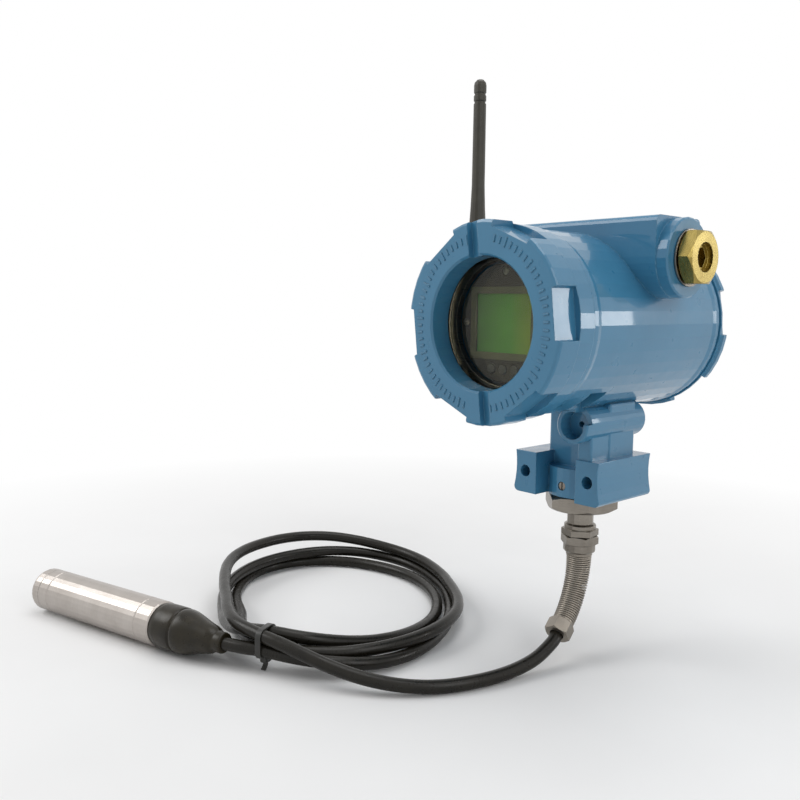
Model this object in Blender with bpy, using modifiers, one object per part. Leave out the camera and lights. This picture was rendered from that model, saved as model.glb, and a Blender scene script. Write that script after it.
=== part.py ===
"""Water level sensor: a cast field housing with a display, an antenna and a probe on a long cable.

Metres, +Z up. The origin is the middle of the flat back face of the bracket block, which is the face
that bolts to a wall or pipe bracket. The display looks along -Y, the plugged conduit boss is at +X and
the antenna at -X. The head hangs at its bracket while the cable and the probe lie on the ground.
"""

import math

import bmesh
import bpy
from mathutils import Matrix, Vector

# Fits: the gap between touching pieces, and the radial room of a sliding one
GAP = 0.0003
SLIP = 0.0003

# Small edges, the length by which joined shapes run into each other, and by which cutters run past
EDGE = 0.0008
BEVEL = 0.0010
LAP = 0.0010
PAST = 0.0100

# Round pieces: how many sides a full turn gets
FINE = 44
MEDIUM = 28
SMALL = 16
TINY = 10

# Cutters start their turn a little off, so that their corners miss the corners of what they cut
CUTTER_TURN_DEG = 2.3

# Head: where the housing and its neck stand from the bracket face
HOUSING_Z = 0.088
NECK_Y = -0.0256
GROUND_Z = -0.1082

# Housing body: a cylinder along Y with a chamber at each end
BODY_RADIUS = 0.0500
BODY_FRONT = 0.0644
BODY_BACK = 0.0590
BODY_SWELL = 0.0006
BODY_SWELL_LENGTH = 0.0070
BODY_SWELL_FLAT = 0.0040
BODY_SHY = 0.0002
BODY_WALL = 0.0060
THREAD_DEPTH = 0.0015
THREAD_LENGTH = 0.0150
RING_SEAT_WIDTH = 0.0022
RING_SEAT_DEPTH = 0.0024
PARTITION_FROM_NECK = 0.0280
PARTITION_THICKNESS = 0.0050

# Shoulder and conduit bosses, across the top of the body
CONDUIT_Z = 0.0350
BOSS_RADIUS = 0.0210
BOSS_REACH = 0.0620
SHOULDER_REACH = 0.0555
SHOULDER_SIDE = 0.0004
SHOULDER_EDGE = 0.0030
CONDUIT_RADIUS = 0.0100

# Neck column, bracket block and barrel boss under the body
COLUMN_LEFT = 0.0180
COLUMN_RIGHT = 0.0240
COLUMN_FRONT = 0.0090
COLUMN_BACK = 0.0166
BLOCK_TOP = 0.0120
BLOCK_BOTTOM = -0.0130
BLOCK_DEPTH = 0.0513
BLOCK_HALF_TOP = 0.0262
BLOCK_BULGE = 0.0040
BLOCK_CORNER = 0.0030
RECESS_HALF = 0.0140
RECESS_DEPTH = 0.0180
BASE_RADIUS = 0.0195
BASE_HEIGHT = 0.0170
LUG_HOLE_X = 0.0219
LUG_HOLE_RADIUS = 0.00365
NECK_BORE_RADIUS = 0.0080
BARREL_X = 0.0155
BARREL_Z = 0.0320
BARREL_RADIUS = 0.0105
BARREL_PROUD = 0.0067
BARREL_SHORT = 0.0010
BARREL_CUT_X = 0.0020
BARREL_CUT_Z = 0.0012
BARREL_CUT_DEPTH = 0.0045
CUP_RADIUS = 0.0078
CUP_DEPTH = 0.0090
TAP_RADIUS = 0.0018
TAP_DEPTH = 0.0060
LOCK_SCREW_RADIUS = 0.0024
LOCK_SCREW_LENGTH = 0.0070
LOCK_SCREW_RISE = 0.0065

# Covers: six lugs round the skirt, a spigot that screws into the body
LUG_RADIUS = 0.0525
SKIRT_RADIUS = 0.0512
NOTCH_RADIUS = 0.0476
NOTCH_COUNT = 6
NOTCH_WIDTH_DEG = 29.0
NOTCH_TURN_DEG = 7.0
NOTCH_PAST_LUG = 0.0012
FRONT_COVER_DEPTH = 0.0280
FRONT_LUG_DEPTH = 0.0150
REAR_COVER_DEPTH = 0.0074
REAR_LUG_DEPTH = 0.0046
REAR_COVER_WALL = 0.0050
COVER_EDGE = 0.0016
WINDOW_LIP = 0.0040
WINDOW_BEVEL = 0.0016
WINDOW_DEPTH = 0.0120
SPIGOT_WALL = 0.0072
WRENCH_SLOT_WIDTH = 0.0070
WRENCH_SLOT_DEPTH = 0.0035
WRENCH_SLOT_TURN_DEG = 90.0
WRENCH_SLOT_LAP = 0.0040
SEAL_RADIUS = 0.0008

# Window parts behind the cover's throat
GASKET_THICKNESS = 0.0010
GLASS_THICKNESS = 0.0060
CLAMP_RING_THICKNESS = 0.0035
CLAMP_RING_WIDTH = 0.0045

# Display module
DISPLAY_FACE = 0.0215
DISPLAY_ROOM = 0.0020
DISPLAY_WALL = 0.0020
DISPLAY_FLANGE_ROOM = 0.0015
DISPLAY_FLANGE = 0.0030
DISPLAY_FLANGE_STAND = 0.0025
DISPLAY_LEG_RADIUS = 0.0022
DISPLAY_LEG_OUT = 0.0040
LCD_TO_SCREWS = 0.0062
LCD_TO_BUTTONS = 0.0078
LCD_THICKNESS = 0.0012
LCD_SINK = 0.0015
FRAME_RIM = 0.0026
FRAME_THICKNESS = 0.0009
BUTTON_RADIUS = 0.0027
BUTTON_PROUD = 0.0009
BUTTON_SPACING = 0.0080
BUTTON_INSET = 0.0072
BUTTON_FLANGE = 0.0008
LAMP_RADIUS = 0.0022
LAMP_INSET = 0.0043
SCREW_INSET = 0.0053
SCREW_HEAD_RADIUS = 0.0021
SCREW_SHANK_RADIUS = 0.0011

# Boards, battery and terminals
BOARD_THICKNESS = 0.0016
MAIN_BOARD_ROOM = 0.0040
MAIN_BOARD_STAND = 0.0090
POST_RADIUS = 0.0035
POST_INSET = 0.0060
BATTERY_RADIUS = 0.0165
BATTERY_END_ROOM = 0.0140
BATTERY_Z = 0.0040
TRAY_STAND = 0.0200
TRAY_THICKNESS = 0.0030
TRAY_WALL_HEIGHT = 0.0180
TRAY_HOLD = 0.95
TERMINAL_WIDTH = 0.0400
TERMINAL_HEIGHT = 0.0140
TERMINAL_DEPTH = 0.0120
TERMINAL_Z = -0.0250
TERMINAL_COUNT = 3
TERMINAL_PITCH = 0.0120
TERMINAL_SCREW_RADIUS = 0.0028
TERMINAL_SCREW_LENGTH = 0.0050
TERMINAL_HOLE_DEPTH = 0.0060
SHANK_SHARE = 0.55

# Brass plug and its washer
PLUG_FLATS = 0.0270
PLUG_HEAD = 0.0078
PLUG_RECESS_RADIUS = 0.0078
PLUG_RECESS_DEPTH = 0.0030
PLUG_KEY_FLATS = 0.0100
PLUG_KEY_DEPTH = 0.0050
PLUG_SHANK = 0.0140
WASHER_RADIUS = 0.0150
WASHER_THICKNESS = 0.0010

# Antenna
ADAPTER_FLATS = 0.0240
ADAPTER_HEX = 0.0080
ADAPTER_NOSE_RADIUS = 0.0062
ADAPTER_NOSE = 0.0030
SWIVEL_RADIUS = 0.0055
SWIVEL_LENGTH = 0.0085
FORK_REACH = 0.0070
WHIP_FROM_BOSS = 0.0270
WHIP_LENGTH = 0.1170
WHIP_TOP_RADIUS = 0.0040
WHIP_FOOT_RADIUS = 0.0058
WHIP_FOOT_RISE = 0.0085
WHIP_FLARE_LENGTH = 0.0420
TONGUE_THICKNESS = 0.0048
FORK_ARM = 0.0028
PIVOT_RADIUS = 0.0015
PIN_SHY = 0.0002
WHIP_GROOVES = (0.0085, 0.0135)
WHIP_GROOVE_DEPTH = 0.0005

# Cable, gland and spiral guard
CABLE_RADIUS = 0.00375
HEX_ADAPTER_FLATS = 0.0382
HEX_ADAPTER_HEIGHT = 0.0088
HEX_ADAPTER_TURN_DEG = -12.0
NIPPLE_LENGTH = 0.0120
GLAND_NECK_RADIUS = 0.0077
GLAND_NECK = 0.0086
GLAND_RING_RADIUS = 0.0094
GLAND_RING = 0.0036
GLAND_FLATS = 0.0190
GLAND_TURN_DEG = 9.0
GLAND_NUT_TURN_DEG = -5.0
GLAND_SEAL_SEAT = 0.0024
GLAND_HEX = 0.0036
GLAND_NUT_FLATS = 0.0195
GLAND_NUT_HEX = 0.0052
GLAND_NUT_RING_RADIUS = 0.0095
GLAND_NUT_RING = 0.0049
SEAL_SLEEVE_WALL = 0.0018
COLLAR_RADIUS = 0.0078
COLLAR_LENGTH = 0.0015
GUARD_STRAIGHT = 0.0010
GUARD_BEND_RADIUS = 0.0435
GUARD_BEND_DEG = 56.0
GUARD_HEADING_DEG = -79.0
GUARD_TOP_RADIUS = 0.0075
GUARD_END_RADIUS = 0.0064
GUARD_BORE_RADIUS = 0.0049
GUARD_PITCH = 0.00145
GUARD_GROOVE = 0.00055
FERRULE_FLATS = 0.0138
FERRULE_LENGTH = 0.0085
FERRULE_BORE_RADIUS = 0.0042

# Loose loop of the cable on the ground, and the tie that gathers it
LOOP_X = -0.1450
LOOP_Y = -0.0995
LOOP_INNER = 0.0680
LOOP_OUTER = 0.0965
LOOP_HEIGHT = 0.0120
TIE_ANGLE_DEG = -64.0
TIE_BUNDLE_WIDTH = 0.0240
TIE_BUNDLE_HEIGHT = 0.0090
TIE_BAND_WIDTH = 0.0036
TIE_BAND_THICKNESS = 0.0012
TIE_HEAD = 0.0050
TIE_TAIL = 0.0110

# Probe, lying on the ground
PROBE_RADIUS = 0.0135
PROBE_WALL = 0.0018
PROBE_LENGTH = 0.1120
PROBE_NOSE_LENGTH = 0.0075
PROBE_EDGE = 0.0022
PROBE_GROOVE = 0.0005
PROBE_GROOVE_AT = 0.0085
PROBE_REAR_GROOVE_AT = 0.0120
PROBE_PORT_RADIUS = 0.0030
PROBE_SPIGOT = 0.0050
PROBE_HEADING_DEG = 15.5
CELL_LENGTH = 0.0120
PROBE_BOARD_LENGTH = 0.0520
BOOT_LENGTH = 0.0500
BOOT_SLEEVE = 0.0170
BOOT_BULGE_RADIUS = 0.0112
BOOT_WAIST_RADIUS = 0.0085
BOOT_END_RADIUS = 0.0060
BOOT_COLLAR = 0.0060
BOOT_X = -0.1120
BOOT_Y = -0.2020

# Places that follow from the sizes above
FRONT_SEAM_Y = NECK_Y - BODY_FRONT
REAR_SEAM_Y = NECK_Y + BODY_BACK
COVER_FACE_Y = FRONT_SEAM_Y - FRONT_COVER_DEPTH
PARTITION_FRONT_Y = NECK_Y - PARTITION_FROM_NECK
PARTITION_REAR_Y = PARTITION_FRONT_Y + PARTITION_THICKNESS
BLOCK_FRONT_Y = -BLOCK_DEPTH
CONDUIT_HEIGHT = HOUSING_Z + CONDUIT_Z
CHAMBER_RADIUS = BODY_RADIUS - BODY_WALL
THREAD_RADIUS = CHAMBER_RADIUS + THREAD_DEPTH
SPIGOT_RADIUS = THREAD_RADIUS - SLIP
SPIGOT_LENGTH = THREAD_LENGTH - GAP
WINDOW_BORE = SPIGOT_RADIUS - SPIGOT_WALL
WINDOW_THROAT = WINDOW_BORE - WINDOW_LIP
WINDOW_RADIUS = WINDOW_THROAT + WINDOW_BEVEL
DISPLAY_RADIUS = WINDOW_BORE - CLAMP_RING_WIDTH - DISPLAY_ROOM
DISPLAY_FLANGE_RADIUS = CHAMBER_RADIUS - DISPLAY_FLANGE_ROOM
SCREW_SPREAD = DISPLAY_RADIUS - SCREW_INSET
BUTTON_DROP = DISPLAY_RADIUS - BUTTON_INSET
LAMP_RISE = DISPLAY_RADIUS - LAMP_INSET
LCD_WIDTH = 2 * (SCREW_SPREAD - LCD_TO_SCREWS)
LCD_HEIGHT = 2 * (BUTTON_DROP - LCD_TO_BUTTONS)
MAIN_BOARD_RADIUS = CHAMBER_RADIUS - MAIN_BOARD_ROOM
POST_CIRCLE = MAIN_BOARD_RADIUS - POST_INSET
BATTERY_LENGTH = 2 * (CHAMBER_RADIUS - BATTERY_END_ROOM)
GLASS_FRONT_Y = COVER_FACE_Y + WINDOW_DEPTH + GASKET_THICKNESS + 2 * GAP
CLAMP_RING_Y = GLASS_FRONT_Y + GLASS_THICKNESS + GAP
DISPLAY_FACE_Y = COVER_FACE_Y + DISPLAY_FACE
BOARD_BACK_Y = PARTITION_FRONT_Y - MAIN_BOARD_STAND
BOARD_FRONT_Y = BOARD_BACK_Y - BOARD_THICKNESS
DISPLAY_FLANGE_Y = FRONT_SEAM_Y + THREAD_LENGTH + DISPLAY_FLANGE_STAND
HEX_TOP_Z = BLOCK_BOTTOM - GAP
HEX_BOTTOM_Z = HEX_TOP_Z - HEX_ADAPTER_HEIGHT
GLAND_TOP_Z = HEX_BOTTOM_Z - GAP
GLAND_BOTTOM_Z = GLAND_TOP_Z - GLAND_NECK - GLAND_RING - GLAND_HEX
NUT_TOP_Z = GLAND_BOTTOM_Z - GAP
NUT_BOTTOM_Z = NUT_TOP_Z - GLAND_NUT_HEX - GLAND_NUT_RING
COLLAR_TOP_Z = NUT_BOTTOM_Z - GAP
GUARD_TOP_Z = COLLAR_TOP_Z - COLLAR_LENGTH - GAP
CABLE_ROOM = CABLE_RADIUS + GAP
PROBE_AXIS_Z = GROUND_Z + PROBE_RADIUS
PROBE_BORE = PROBE_RADIUS - PROBE_WALL

# Route of the free cable where it isn't coiled: from the ferrule to the loop, and from the probe to it
LEAD_POINTS = [
    (0.0062, -0.0575, -0.0960),
    (0.0068, -0.0660, -0.1008),
    (0.0062, -0.0775, -0.1037),
    (0.0040, -0.0920, -0.1044),
    (0.0018, -0.1080, -0.1044),
    (-0.0020, -0.1225, -0.1044),
    (-0.0085, -0.1340, -0.1044),
    (-0.0175, -0.1435, -0.1044),
    (-0.0290, -0.1515, -0.1044),
    (-0.0420, -0.1575, -0.1040),
    (-0.0560, -0.1622, -0.1022),
    (-0.0696, -0.1653, -0.0998),
]
TAIL_POINTS = [
    (-0.1050, -0.1991, -0.0950),
    (-0.0970, -0.1924, -0.0962),
    (-0.0922, -0.1843, -0.0985),
]
CABLE_STEP = 0.0120
CABLE_END_GAP = 0.0006


def clear_scene():
    """Remove the scene's objects, so that the model starts from nothing."""
    for item in list(bpy.data.objects):
        bpy.data.objects.remove(item, do_unlink=True)


def new_collection(name):
    """A collection of its own in the scene."""
    collection = bpy.data.collections.new(name)
    bpy.context.scene.collection.children.link(collection)
    return collection


clear_scene()
PARTS = new_collection("water_level_sensor")
CUTTERS = new_collection("cutters")


# Materials


def material(name, colour, roughness, metallic=0.0):
    """A Principled material with the piece's colour, roughness and metallic value."""
    made = bpy.data.materials.new(name)
    made.use_nodes = True
    shader = made.node_tree.nodes["Principled BSDF"]
    shader.inputs["Base Color"].default_value = (*colour, 1.0)
    shader.inputs["Roughness"].default_value = roughness
    shader.inputs["Metallic"].default_value = metallic
    made.diffuse_color = (*colour, 1.0)
    return made


PAINT = (0.062, 0.222, 0.365)
STEEL = (0.42, 0.40, 0.37)
BRASS = (0.46, 0.36, 0.12)
BLACK = (0.018, 0.017, 0.015)
PROBE_STEEL = (0.60, 0.57, 0.53)
GLASS = (0.10, 0.13, 0.12)
DISPLAY_PLASTIC = (0.020, 0.022, 0.020)
BUTTON_PLASTIC = (0.035, 0.037, 0.035)
LAMP_LENS = (0.10, 0.11, 0.09)
LCD_GREEN = (0.095, 0.21, 0.06)
LCD_RIM = (0.055, 0.075, 0.055)
BOARD_GREEN = (0.03, 0.12, 0.05)
TRAY_PLASTIC = (0.05, 0.05, 0.05)
BATTERY_SLEEVE = (0.25, 0.28, 0.30)
TERMINAL_PLASTIC = (0.03, 0.03, 0.03)
ANTENNA_RUBBER = (0.055, 0.052, 0.045)


# Building blocks


def place(item, at=(0, 0, 0), turn=(0, 0, 0)):
    """Put an object at a point, turned by angles in degrees."""
    item.location = at
    item.rotation_euler = [math.radians(angle) for angle in turn]
    return item


def add_mesh(name, mesh, finish=None):
    """A named object in the parts' collection, or a cutter when it has no finish."""
    item = bpy.data.objects.new(name, mesh)
    if finish is None:
        CUTTERS.objects.link(item)
        item.hide_render = True
        item.display_type = "WIRE"
    else:
        mesh.materials.append(material(name, *finish))
        PARTS.objects.link(item)
    return item


def smooth(item, angle=30.0):
    """Shade round faces smooth and keep the sharp edges."""
    item.data.shade_smooth()
    item.data.set_sharp_from_angle(angle=math.radians(angle))
    return item


def turned(name, profile, finish=None, sides=MEDIUM, ring=False):
    """A turned shape about local Z: profile points are (radius, height), closed on itself for a ring."""
    points = list(profile)
    if ring:
        area = 0.0
        for here, there in zip(points, points[1:] + points[:1]):
            area += here[0] * there[1] - there[0] * here[1]
        if area > 0:
            points.reverse()
    elif points[0][1] < points[-1][1]:
        points.reverse()
    mesh = bpy.data.meshes.new(name)
    shape = bmesh.new()
    start = math.radians(0.0 if finish else CUTTER_TURN_DEG)
    verts = [
        shape.verts.new((radius * math.cos(start), radius * math.sin(start), height))
        for radius, height in points
    ]
    for here, there in zip(verts, verts[1:]):
        shape.edges.new((here, there))
    if ring:
        shape.edges.new((verts[-1], verts[0]))
    shape.to_mesh(mesh)
    shape.free()
    item = add_mesh(name, mesh, finish)
    screw = item.modifiers.new("Turn", "SCREW")
    screw.axis = "Z"
    screw.angle = math.tau
    screw.steps = sides
    screw.render_steps = sides
    screw.use_merge_vertices = True
    screw.merge_threshold = 0.00001
    screw.use_smooth_shade = True
    return item


def rod(name, radius, low, high, finish=None, sides=SMALL):
    """A plain cylinder about local Z, from one height to another."""
    return turned(name, [(0, high), (radius, high), (radius, low), (0, low)], finish, sides)


def tube(name, outer, inner, low, high, finish=None, sides=SMALL):
    """A plain ring or pipe about local Z."""
    section = [(outer, high), (outer, low), (inner, low), (inner, high)]
    return turned(name, section, finish, sides, ring=True)


def box(name, low, high, finish=None, edge=0.0, segments=2):
    """A box between two corners, with rounded edges if wanted."""
    mesh = bpy.data.meshes.new(name)
    shape = bmesh.new()
    bmesh.ops.create_cube(shape, size=1.0)
    size = [top - bottom for bottom, top in zip(low, high)]
    middle = [(top + bottom) / 2 for bottom, top in zip(low, high)]
    bmesh.ops.scale(shape, vec=size, verts=shape.verts)
    bmesh.ops.translate(shape, vec=middle, verts=shape.verts)
    if edge:
        bmesh.ops.bevel(
            shape, geom=shape.edges[:], offset=edge, segments=segments, affect="EDGES", profile=0.5
        )
    shape.to_mesh(mesh)
    shape.free()
    return add_mesh(name, mesh, finish)


def hexagon(name, flats, low, high, finish=None, chamfer=0.0):
    """A hexagon prism about local Z, its corners turned off at both ends like a nut's."""
    mesh = bpy.data.meshes.new(name)
    shape = bmesh.new()
    corner = flats / math.sqrt(3)
    bmesh.ops.create_cone(
        shape, cap_ends=True, segments=6, radius1=corner, radius2=corner, depth=high - low
    )
    bmesh.ops.translate(shape, vec=(0, 0, (high + low) / 2), verts=shape.verts)
    shape.to_mesh(mesh)
    shape.free()
    item = add_mesh(name, mesh, finish)
    if chamfer:
        dome = turned(
            name + "_chamfer",
            [
                (0, high),
                (flats / 2 * 0.98, high),
                (corner + 0.0002, high - chamfer),
                (corner + 0.0002, low + chamfer),
                (flats / 2 * 0.98, low),
                (0, low),
            ],
            sides=MEDIUM,
        )
        dome.parent = item
        combine(item, dome, "INTERSECT")
    return item


def combine(item, other, operation):
    """Join, cut or intersect an object with another by a Boolean."""
    boolean = item.modifiers.new(other.name, "BOOLEAN")
    boolean.operation = operation
    boolean.solver = "EXACT"
    boolean.object = other
    return item


def join(item, *others):
    for other in others:
        combine(item, other, "UNION")
    return item


def cut(item, *others):
    for other in others:
        combine(item, other, "DIFFERENCE")
    return item


def outline_mesh(name, points, depth, finish=None):
    """A flat outline in local XZ, extruded from local y = 0 forward to -depth."""
    curve = bpy.data.curves.new(name + "_outline", "CURVE")
    curve.dimensions = "2D"
    curve.fill_mode = "BOTH"
    curve.extrude = depth / 2
    spline = curve.splines.new("POLY")
    spline.points.add(len(points) - 1)
    for point, (x, z) in zip(spline.points, points):
        point.co = (x, z, 0.0, 1.0)
    spline.use_cyclic_u = True
    holder = bpy.data.objects.new(name + "_outline", curve)
    CUTTERS.objects.link(holder)
    holder.rotation_euler = (math.pi / 2, 0, 0)
    holder.location = (0, -depth / 2, 0)
    item = add_mesh(name, mesh_of(holder), finish)
    return item


def mesh_of(holder):
    """The closed mesh of a curve object, in the scene's own place, and the curve is removed."""
    bpy.context.view_layer.update()
    graph = bpy.context.evaluated_depsgraph_get()
    mesh = bpy.data.meshes.new_from_object(holder.evaluated_get(graph))
    mesh.transform(holder.matrix_world)
    shape = bmesh.new()
    shape.from_mesh(mesh)
    bmesh.ops.remove_doubles(shape, verts=shape.verts, dist=0.000001)
    bmesh.ops.recalc_face_normals(shape, faces=shape.faces)
    shape.to_mesh(mesh)
    shape.free()
    bpy.data.objects.remove(holder, do_unlink=True)
    return mesh


def smooth_route(points, step):
    """Points about one step apart on a smooth curve that passes through the given points."""
    nodes = [Vector(point) for point in points]
    ends = [2 * nodes[0] - nodes[1]] + nodes + [2 * nodes[-1] - nodes[-2]]
    route = []
    for before, here, there, after in zip(ends, ends[1:], ends[2:], ends[3:]):
        count = max(1, round((there - here).length / step))
        for index in range(count):
            t = index / count
            route.append(
                0.5
                * (
                    2 * here
                    + (there - before) * t
                    + (2 * before - 5 * here + 4 * there - after) * t**2
                    + (3 * here - before - 3 * there + after) * t**3
                )
            )
    route.append(nodes[-1])
    return route


def cable_tube(name, points, finish=(BLACK, 0.5)):
    """A round cable along the given points, with flat ends."""
    curve = bpy.data.curves.new(name, "CURVE")
    curve.dimensions = "3D"
    curve.bevel_depth = CABLE_RADIUS
    curve.bevel_resolution = 3
    curve.use_fill_caps = True
    spline = curve.splines.new("POLY")
    spline.points.add(len(points) - 1)
    for point, place_of in zip(spline.points, points):
        point.co = (*place_of, 1.0)
    curve.materials.append(material(name, *finish))
    item = bpy.data.objects.new(name, curve)
    PARTS.objects.link(item)
    return item


def along_y(item, y, x=0.0, z=HOUSING_Z):
    """Lay a turned shape's axis along +Y, its local zero at y."""
    return place(item, (x, y, z), (-90, 0, 0))


def along_x(item, x, y=NECK_Y, z=CONDUIT_HEIGHT, side=1):
    """Lay a turned shape's axis along +X, or along -X for the other side."""
    return place(item, (x, y, z), (0, 90 * side, 0))


# Housing casting


def arc(centre, radius, start, end, count):
    """Points of an arc in a plane, angles in degrees."""
    points = []
    for index in range(count + 1):
        angle = math.radians(start + (end - start) * index / count)
        points.append((centre[0] + radius * math.cos(angle), centre[1] + radius * math.sin(angle)))
    return points


def block_outline():
    """Front outline of the bracket block: sides that bulge out, round lower corners."""
    height = BLOCK_TOP - BLOCK_BOTTOM
    right = []
    for index in range(6):
        share = index / 5
        swell = math.sin(math.pi * (0.30 + 0.50 * share)) - math.sin(math.pi * 0.80)
        side = BLOCK_HALF_TOP + BLOCK_BULGE * (1 - swell)
        right.append((side, BLOCK_TOP - share * (height - BLOCK_CORNER)))
    half_bottom = right[-1][0]
    corner = arc(
        (half_bottom - BLOCK_CORNER, BLOCK_BOTTOM + BLOCK_CORNER), BLOCK_CORNER, 0, -90, 4
    )
    right += corner[1:]
    left = [(-x, z) for x, z in reversed(right)]
    return right + left


def shoulder():
    """The saddle across the body: a flat top and sides, round below like the bosses."""
    half = BOSS_RADIUS + SHOULDER_SIDE
    lower = arc((0, 0), half, 180, 360, 20)
    top = half - SHOULDER_EDGE
    right = arc((half - SHOULDER_EDGE, top), SHOULDER_EDGE, 0, 90, 3)
    left = arc((-half + SHOULDER_EDGE, top), SHOULDER_EDGE, 90, 180, 3)
    item = outline_mesh("shoulder", lower + right + left, 2 * SHOULDER_REACH)
    return place(item, (SHOULDER_REACH, NECK_Y, CONDUIT_HEIGHT), (0, 0, -90))


def chamber(name, depth, floor):
    """One chamber's cutter: seal seat, thread bore and the wide room behind, down to its floor."""
    return turned(
        name,
        [
            (0, 0.002),
            (THREAD_RADIUS + RING_SEAT_WIDTH, 0.002),
            (THREAD_RADIUS + RING_SEAT_WIDTH, -RING_SEAT_DEPTH),
            (THREAD_RADIUS, -RING_SEAT_DEPTH),
            (THREAD_RADIUS, -depth),
            (CHAMBER_RADIUS, -depth - 0.0012),
            (CHAMBER_RADIUS, -floor),
            (0, -floor),
        ],
        sides=FINE,
    )


def make_housing():
    """The casting: body, shoulder, bosses, neck column, bracket block and barrel, bored from all sides."""
    slim = BODY_RADIUS - BODY_SHY
    body = along_y(
        turned(
            "housing",
            [
                (0, -BODY_FRONT),
                (slim, -BODY_FRONT),
                (slim + BODY_SWELL, -BODY_FRONT + EDGE),
                (slim + BODY_SWELL, -BODY_FRONT + BODY_SWELL_FLAT),
                (slim, -BODY_FRONT + BODY_SWELL_LENGTH),
                (slim, BODY_BACK - BODY_SWELL_LENGTH),
                (slim + BODY_SWELL, BODY_BACK - BODY_SWELL_FLAT),
                (slim + BODY_SWELL, BODY_BACK - EDGE),
                (slim, BODY_BACK),
                (0, BODY_BACK),
            ],
            (PAINT, 0.32),
            FINE,
        ),
        NECK_Y,
    )
    bosses = along_x(
        turned(
            "bosses",
            [
                (0, BOSS_REACH),
                (BOSS_RADIUS - EDGE, BOSS_REACH),
                (BOSS_RADIUS, BOSS_REACH - EDGE),
                (BOSS_RADIUS, -BOSS_REACH + EDGE),
                (BOSS_RADIUS - EDGE, -BOSS_REACH),
                (0, -BOSS_REACH),
            ],
            sides=MEDIUM,
        ),
        0.0,
    )
    column = box(
        "column",
        (-COLUMN_LEFT, NECK_Y - COLUMN_FRONT, BLOCK_BOTTOM + 0.004),
        (COLUMN_RIGHT, NECK_Y + COLUMN_BACK, HOUSING_Z - CHAMBER_RADIUS - LAP),
        edge=0.0015,
    )
    web = box(
        "web",
        (RECESS_HALF, BLOCK_FRONT_Y + 0.0012, BLOCK_TOP - 0.004),
        (COLUMN_RIGHT - 0.0006, NECK_Y, BARREL_Z),
        edge=BEVEL,
    )
    block = outline_mesh("block", block_outline(), BLOCK_DEPTH)
    rounding = block.modifiers.new("Edges", "BEVEL")
    rounding.width = 0.0012
    rounding.segments = 2
    rounding.limit_method = "ANGLE"
    rounding.angle_limit = math.radians(50)
    recess = box(
        "recess",
        (-RECESS_HALF, BLOCK_FRONT_Y - PAST, BLOCK_BOTTOM - PAST),
        (RECESS_HALF, BLOCK_FRONT_Y + RECESS_DEPTH, BLOCK_TOP + PAST),
    )
    base = place(
        rod("base", BASE_RADIUS, 0.0, BASE_HEIGHT, sides=MEDIUM), (0, NECK_Y, BLOCK_BOTTOM)
    )
    barrel_front = BLOCK_FRONT_Y - BARREL_PROUD
    barrel_length = -BARREL_SHORT - barrel_front
    barrel = along_y(
        turned(
            "barrel",
            [
                (0, 0),
                (BARREL_RADIUS - EDGE, 0),
                (BARREL_RADIUS, EDGE),
                (BARREL_RADIUS, barrel_length - EDGE),
                (BARREL_RADIUS - EDGE, barrel_length),
                (0, barrel_length),
            ],
            sides=MEDIUM,
        ),
        barrel_front,
        BARREL_X,
        BARREL_Z,
    )
    cut(block, recess)
    join(body, shoulder(), bosses, block, base, column, web, barrel)

    front = along_y(
        chamber("front_chamber", THREAD_LENGTH, BODY_FRONT - PARTITION_FROM_NECK), FRONT_SEAM_Y
    )
    front.rotation_euler = (math.radians(90), 0, 0)
    rear = along_y(
        chamber("rear_chamber", THREAD_LENGTH, REAR_SEAM_Y - PARTITION_REAR_Y), REAR_SEAM_Y
    )
    conduit = along_x(
        rod("conduit", CONDUIT_RADIUS, -BOSS_REACH - PAST, BOSS_REACH + PAST, sides=MEDIUM), 0.0
    )
    neck_bore = place(
        rod("neck_bore", NECK_BORE_RADIUS, BLOCK_BOTTOM - PAST, HOUSING_Z - CHAMBER_RADIUS + PAST),
        (0, NECK_Y, 0),
    )
    cup = along_y(rod("cup", CUP_RADIUS, -PAST, CUP_DEPTH), barrel_front, BARREL_X, BARREL_Z)
    tap = along_y(
        rod("tap", TAP_RADIUS, 0.0, CUP_DEPTH + TAP_DEPTH, sides=TINY), barrel_front, BARREL_X, BARREL_Z
    )
    rim = box(
        "rim",
        (BARREL_X + BARREL_CUT_X, barrel_front - PAST, BARREL_Z + BARREL_CUT_Z),
        (BARREL_X + 2 * PAST, barrel_front + BARREL_CUT_DEPTH, BARREL_Z + 2 * PAST),
    )
    screw_hole = along_y(
        rod("screw_hole", LOCK_SCREW_RADIUS + SLIP, -LAP, LOCK_SCREW_LENGTH + 2 * GAP, sides=TINY),
        NECK_Y - BASE_RADIUS,
        0.0,
        BLOCK_BOTTOM + LOCK_SCREW_RISE,
    )
    cut(body, front, rear, neck_bore, cup, tap, rim, screw_hole)
    for side in (-1, 1):
        hole = along_y(
            rod(f"lug_hole_{side}", LUG_HOLE_RADIUS, -BLOCK_DEPTH - PAST, PAST, sides=TINY),
            0.0,
            side * LUG_HOLE_X,
            0.0,
        )
        cut(body, hole)
    for index in range(4):
        angle = math.radians(45 + 90 * index)
        post = along_y(
            rod(
                f"board_post_{index}",
                POST_RADIUS,
                BOARD_BACK_Y + GAP - PARTITION_FRONT_Y,
                LAP,
                sides=TINY,
            ),
            PARTITION_FRONT_Y,
            POST_CIRCLE * math.cos(angle),
            HOUSING_Z + POST_CIRCLE * math.sin(angle),
        )
        join(body, post)
    for side in (-1, 1):
        post = along_y(
            rod(f"tray_post_{side}", POST_RADIUS, -LAP, TRAY_STAND - GAP, sides=TINY),
            PARTITION_REAR_Y,
            side * BATTERY_LENGTH / 3,
            HOUSING_Z + BATTERY_Z,
        )
        join(body, post)
    cut(body, conduit)
    return smooth(body)


# Covers and window


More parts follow.
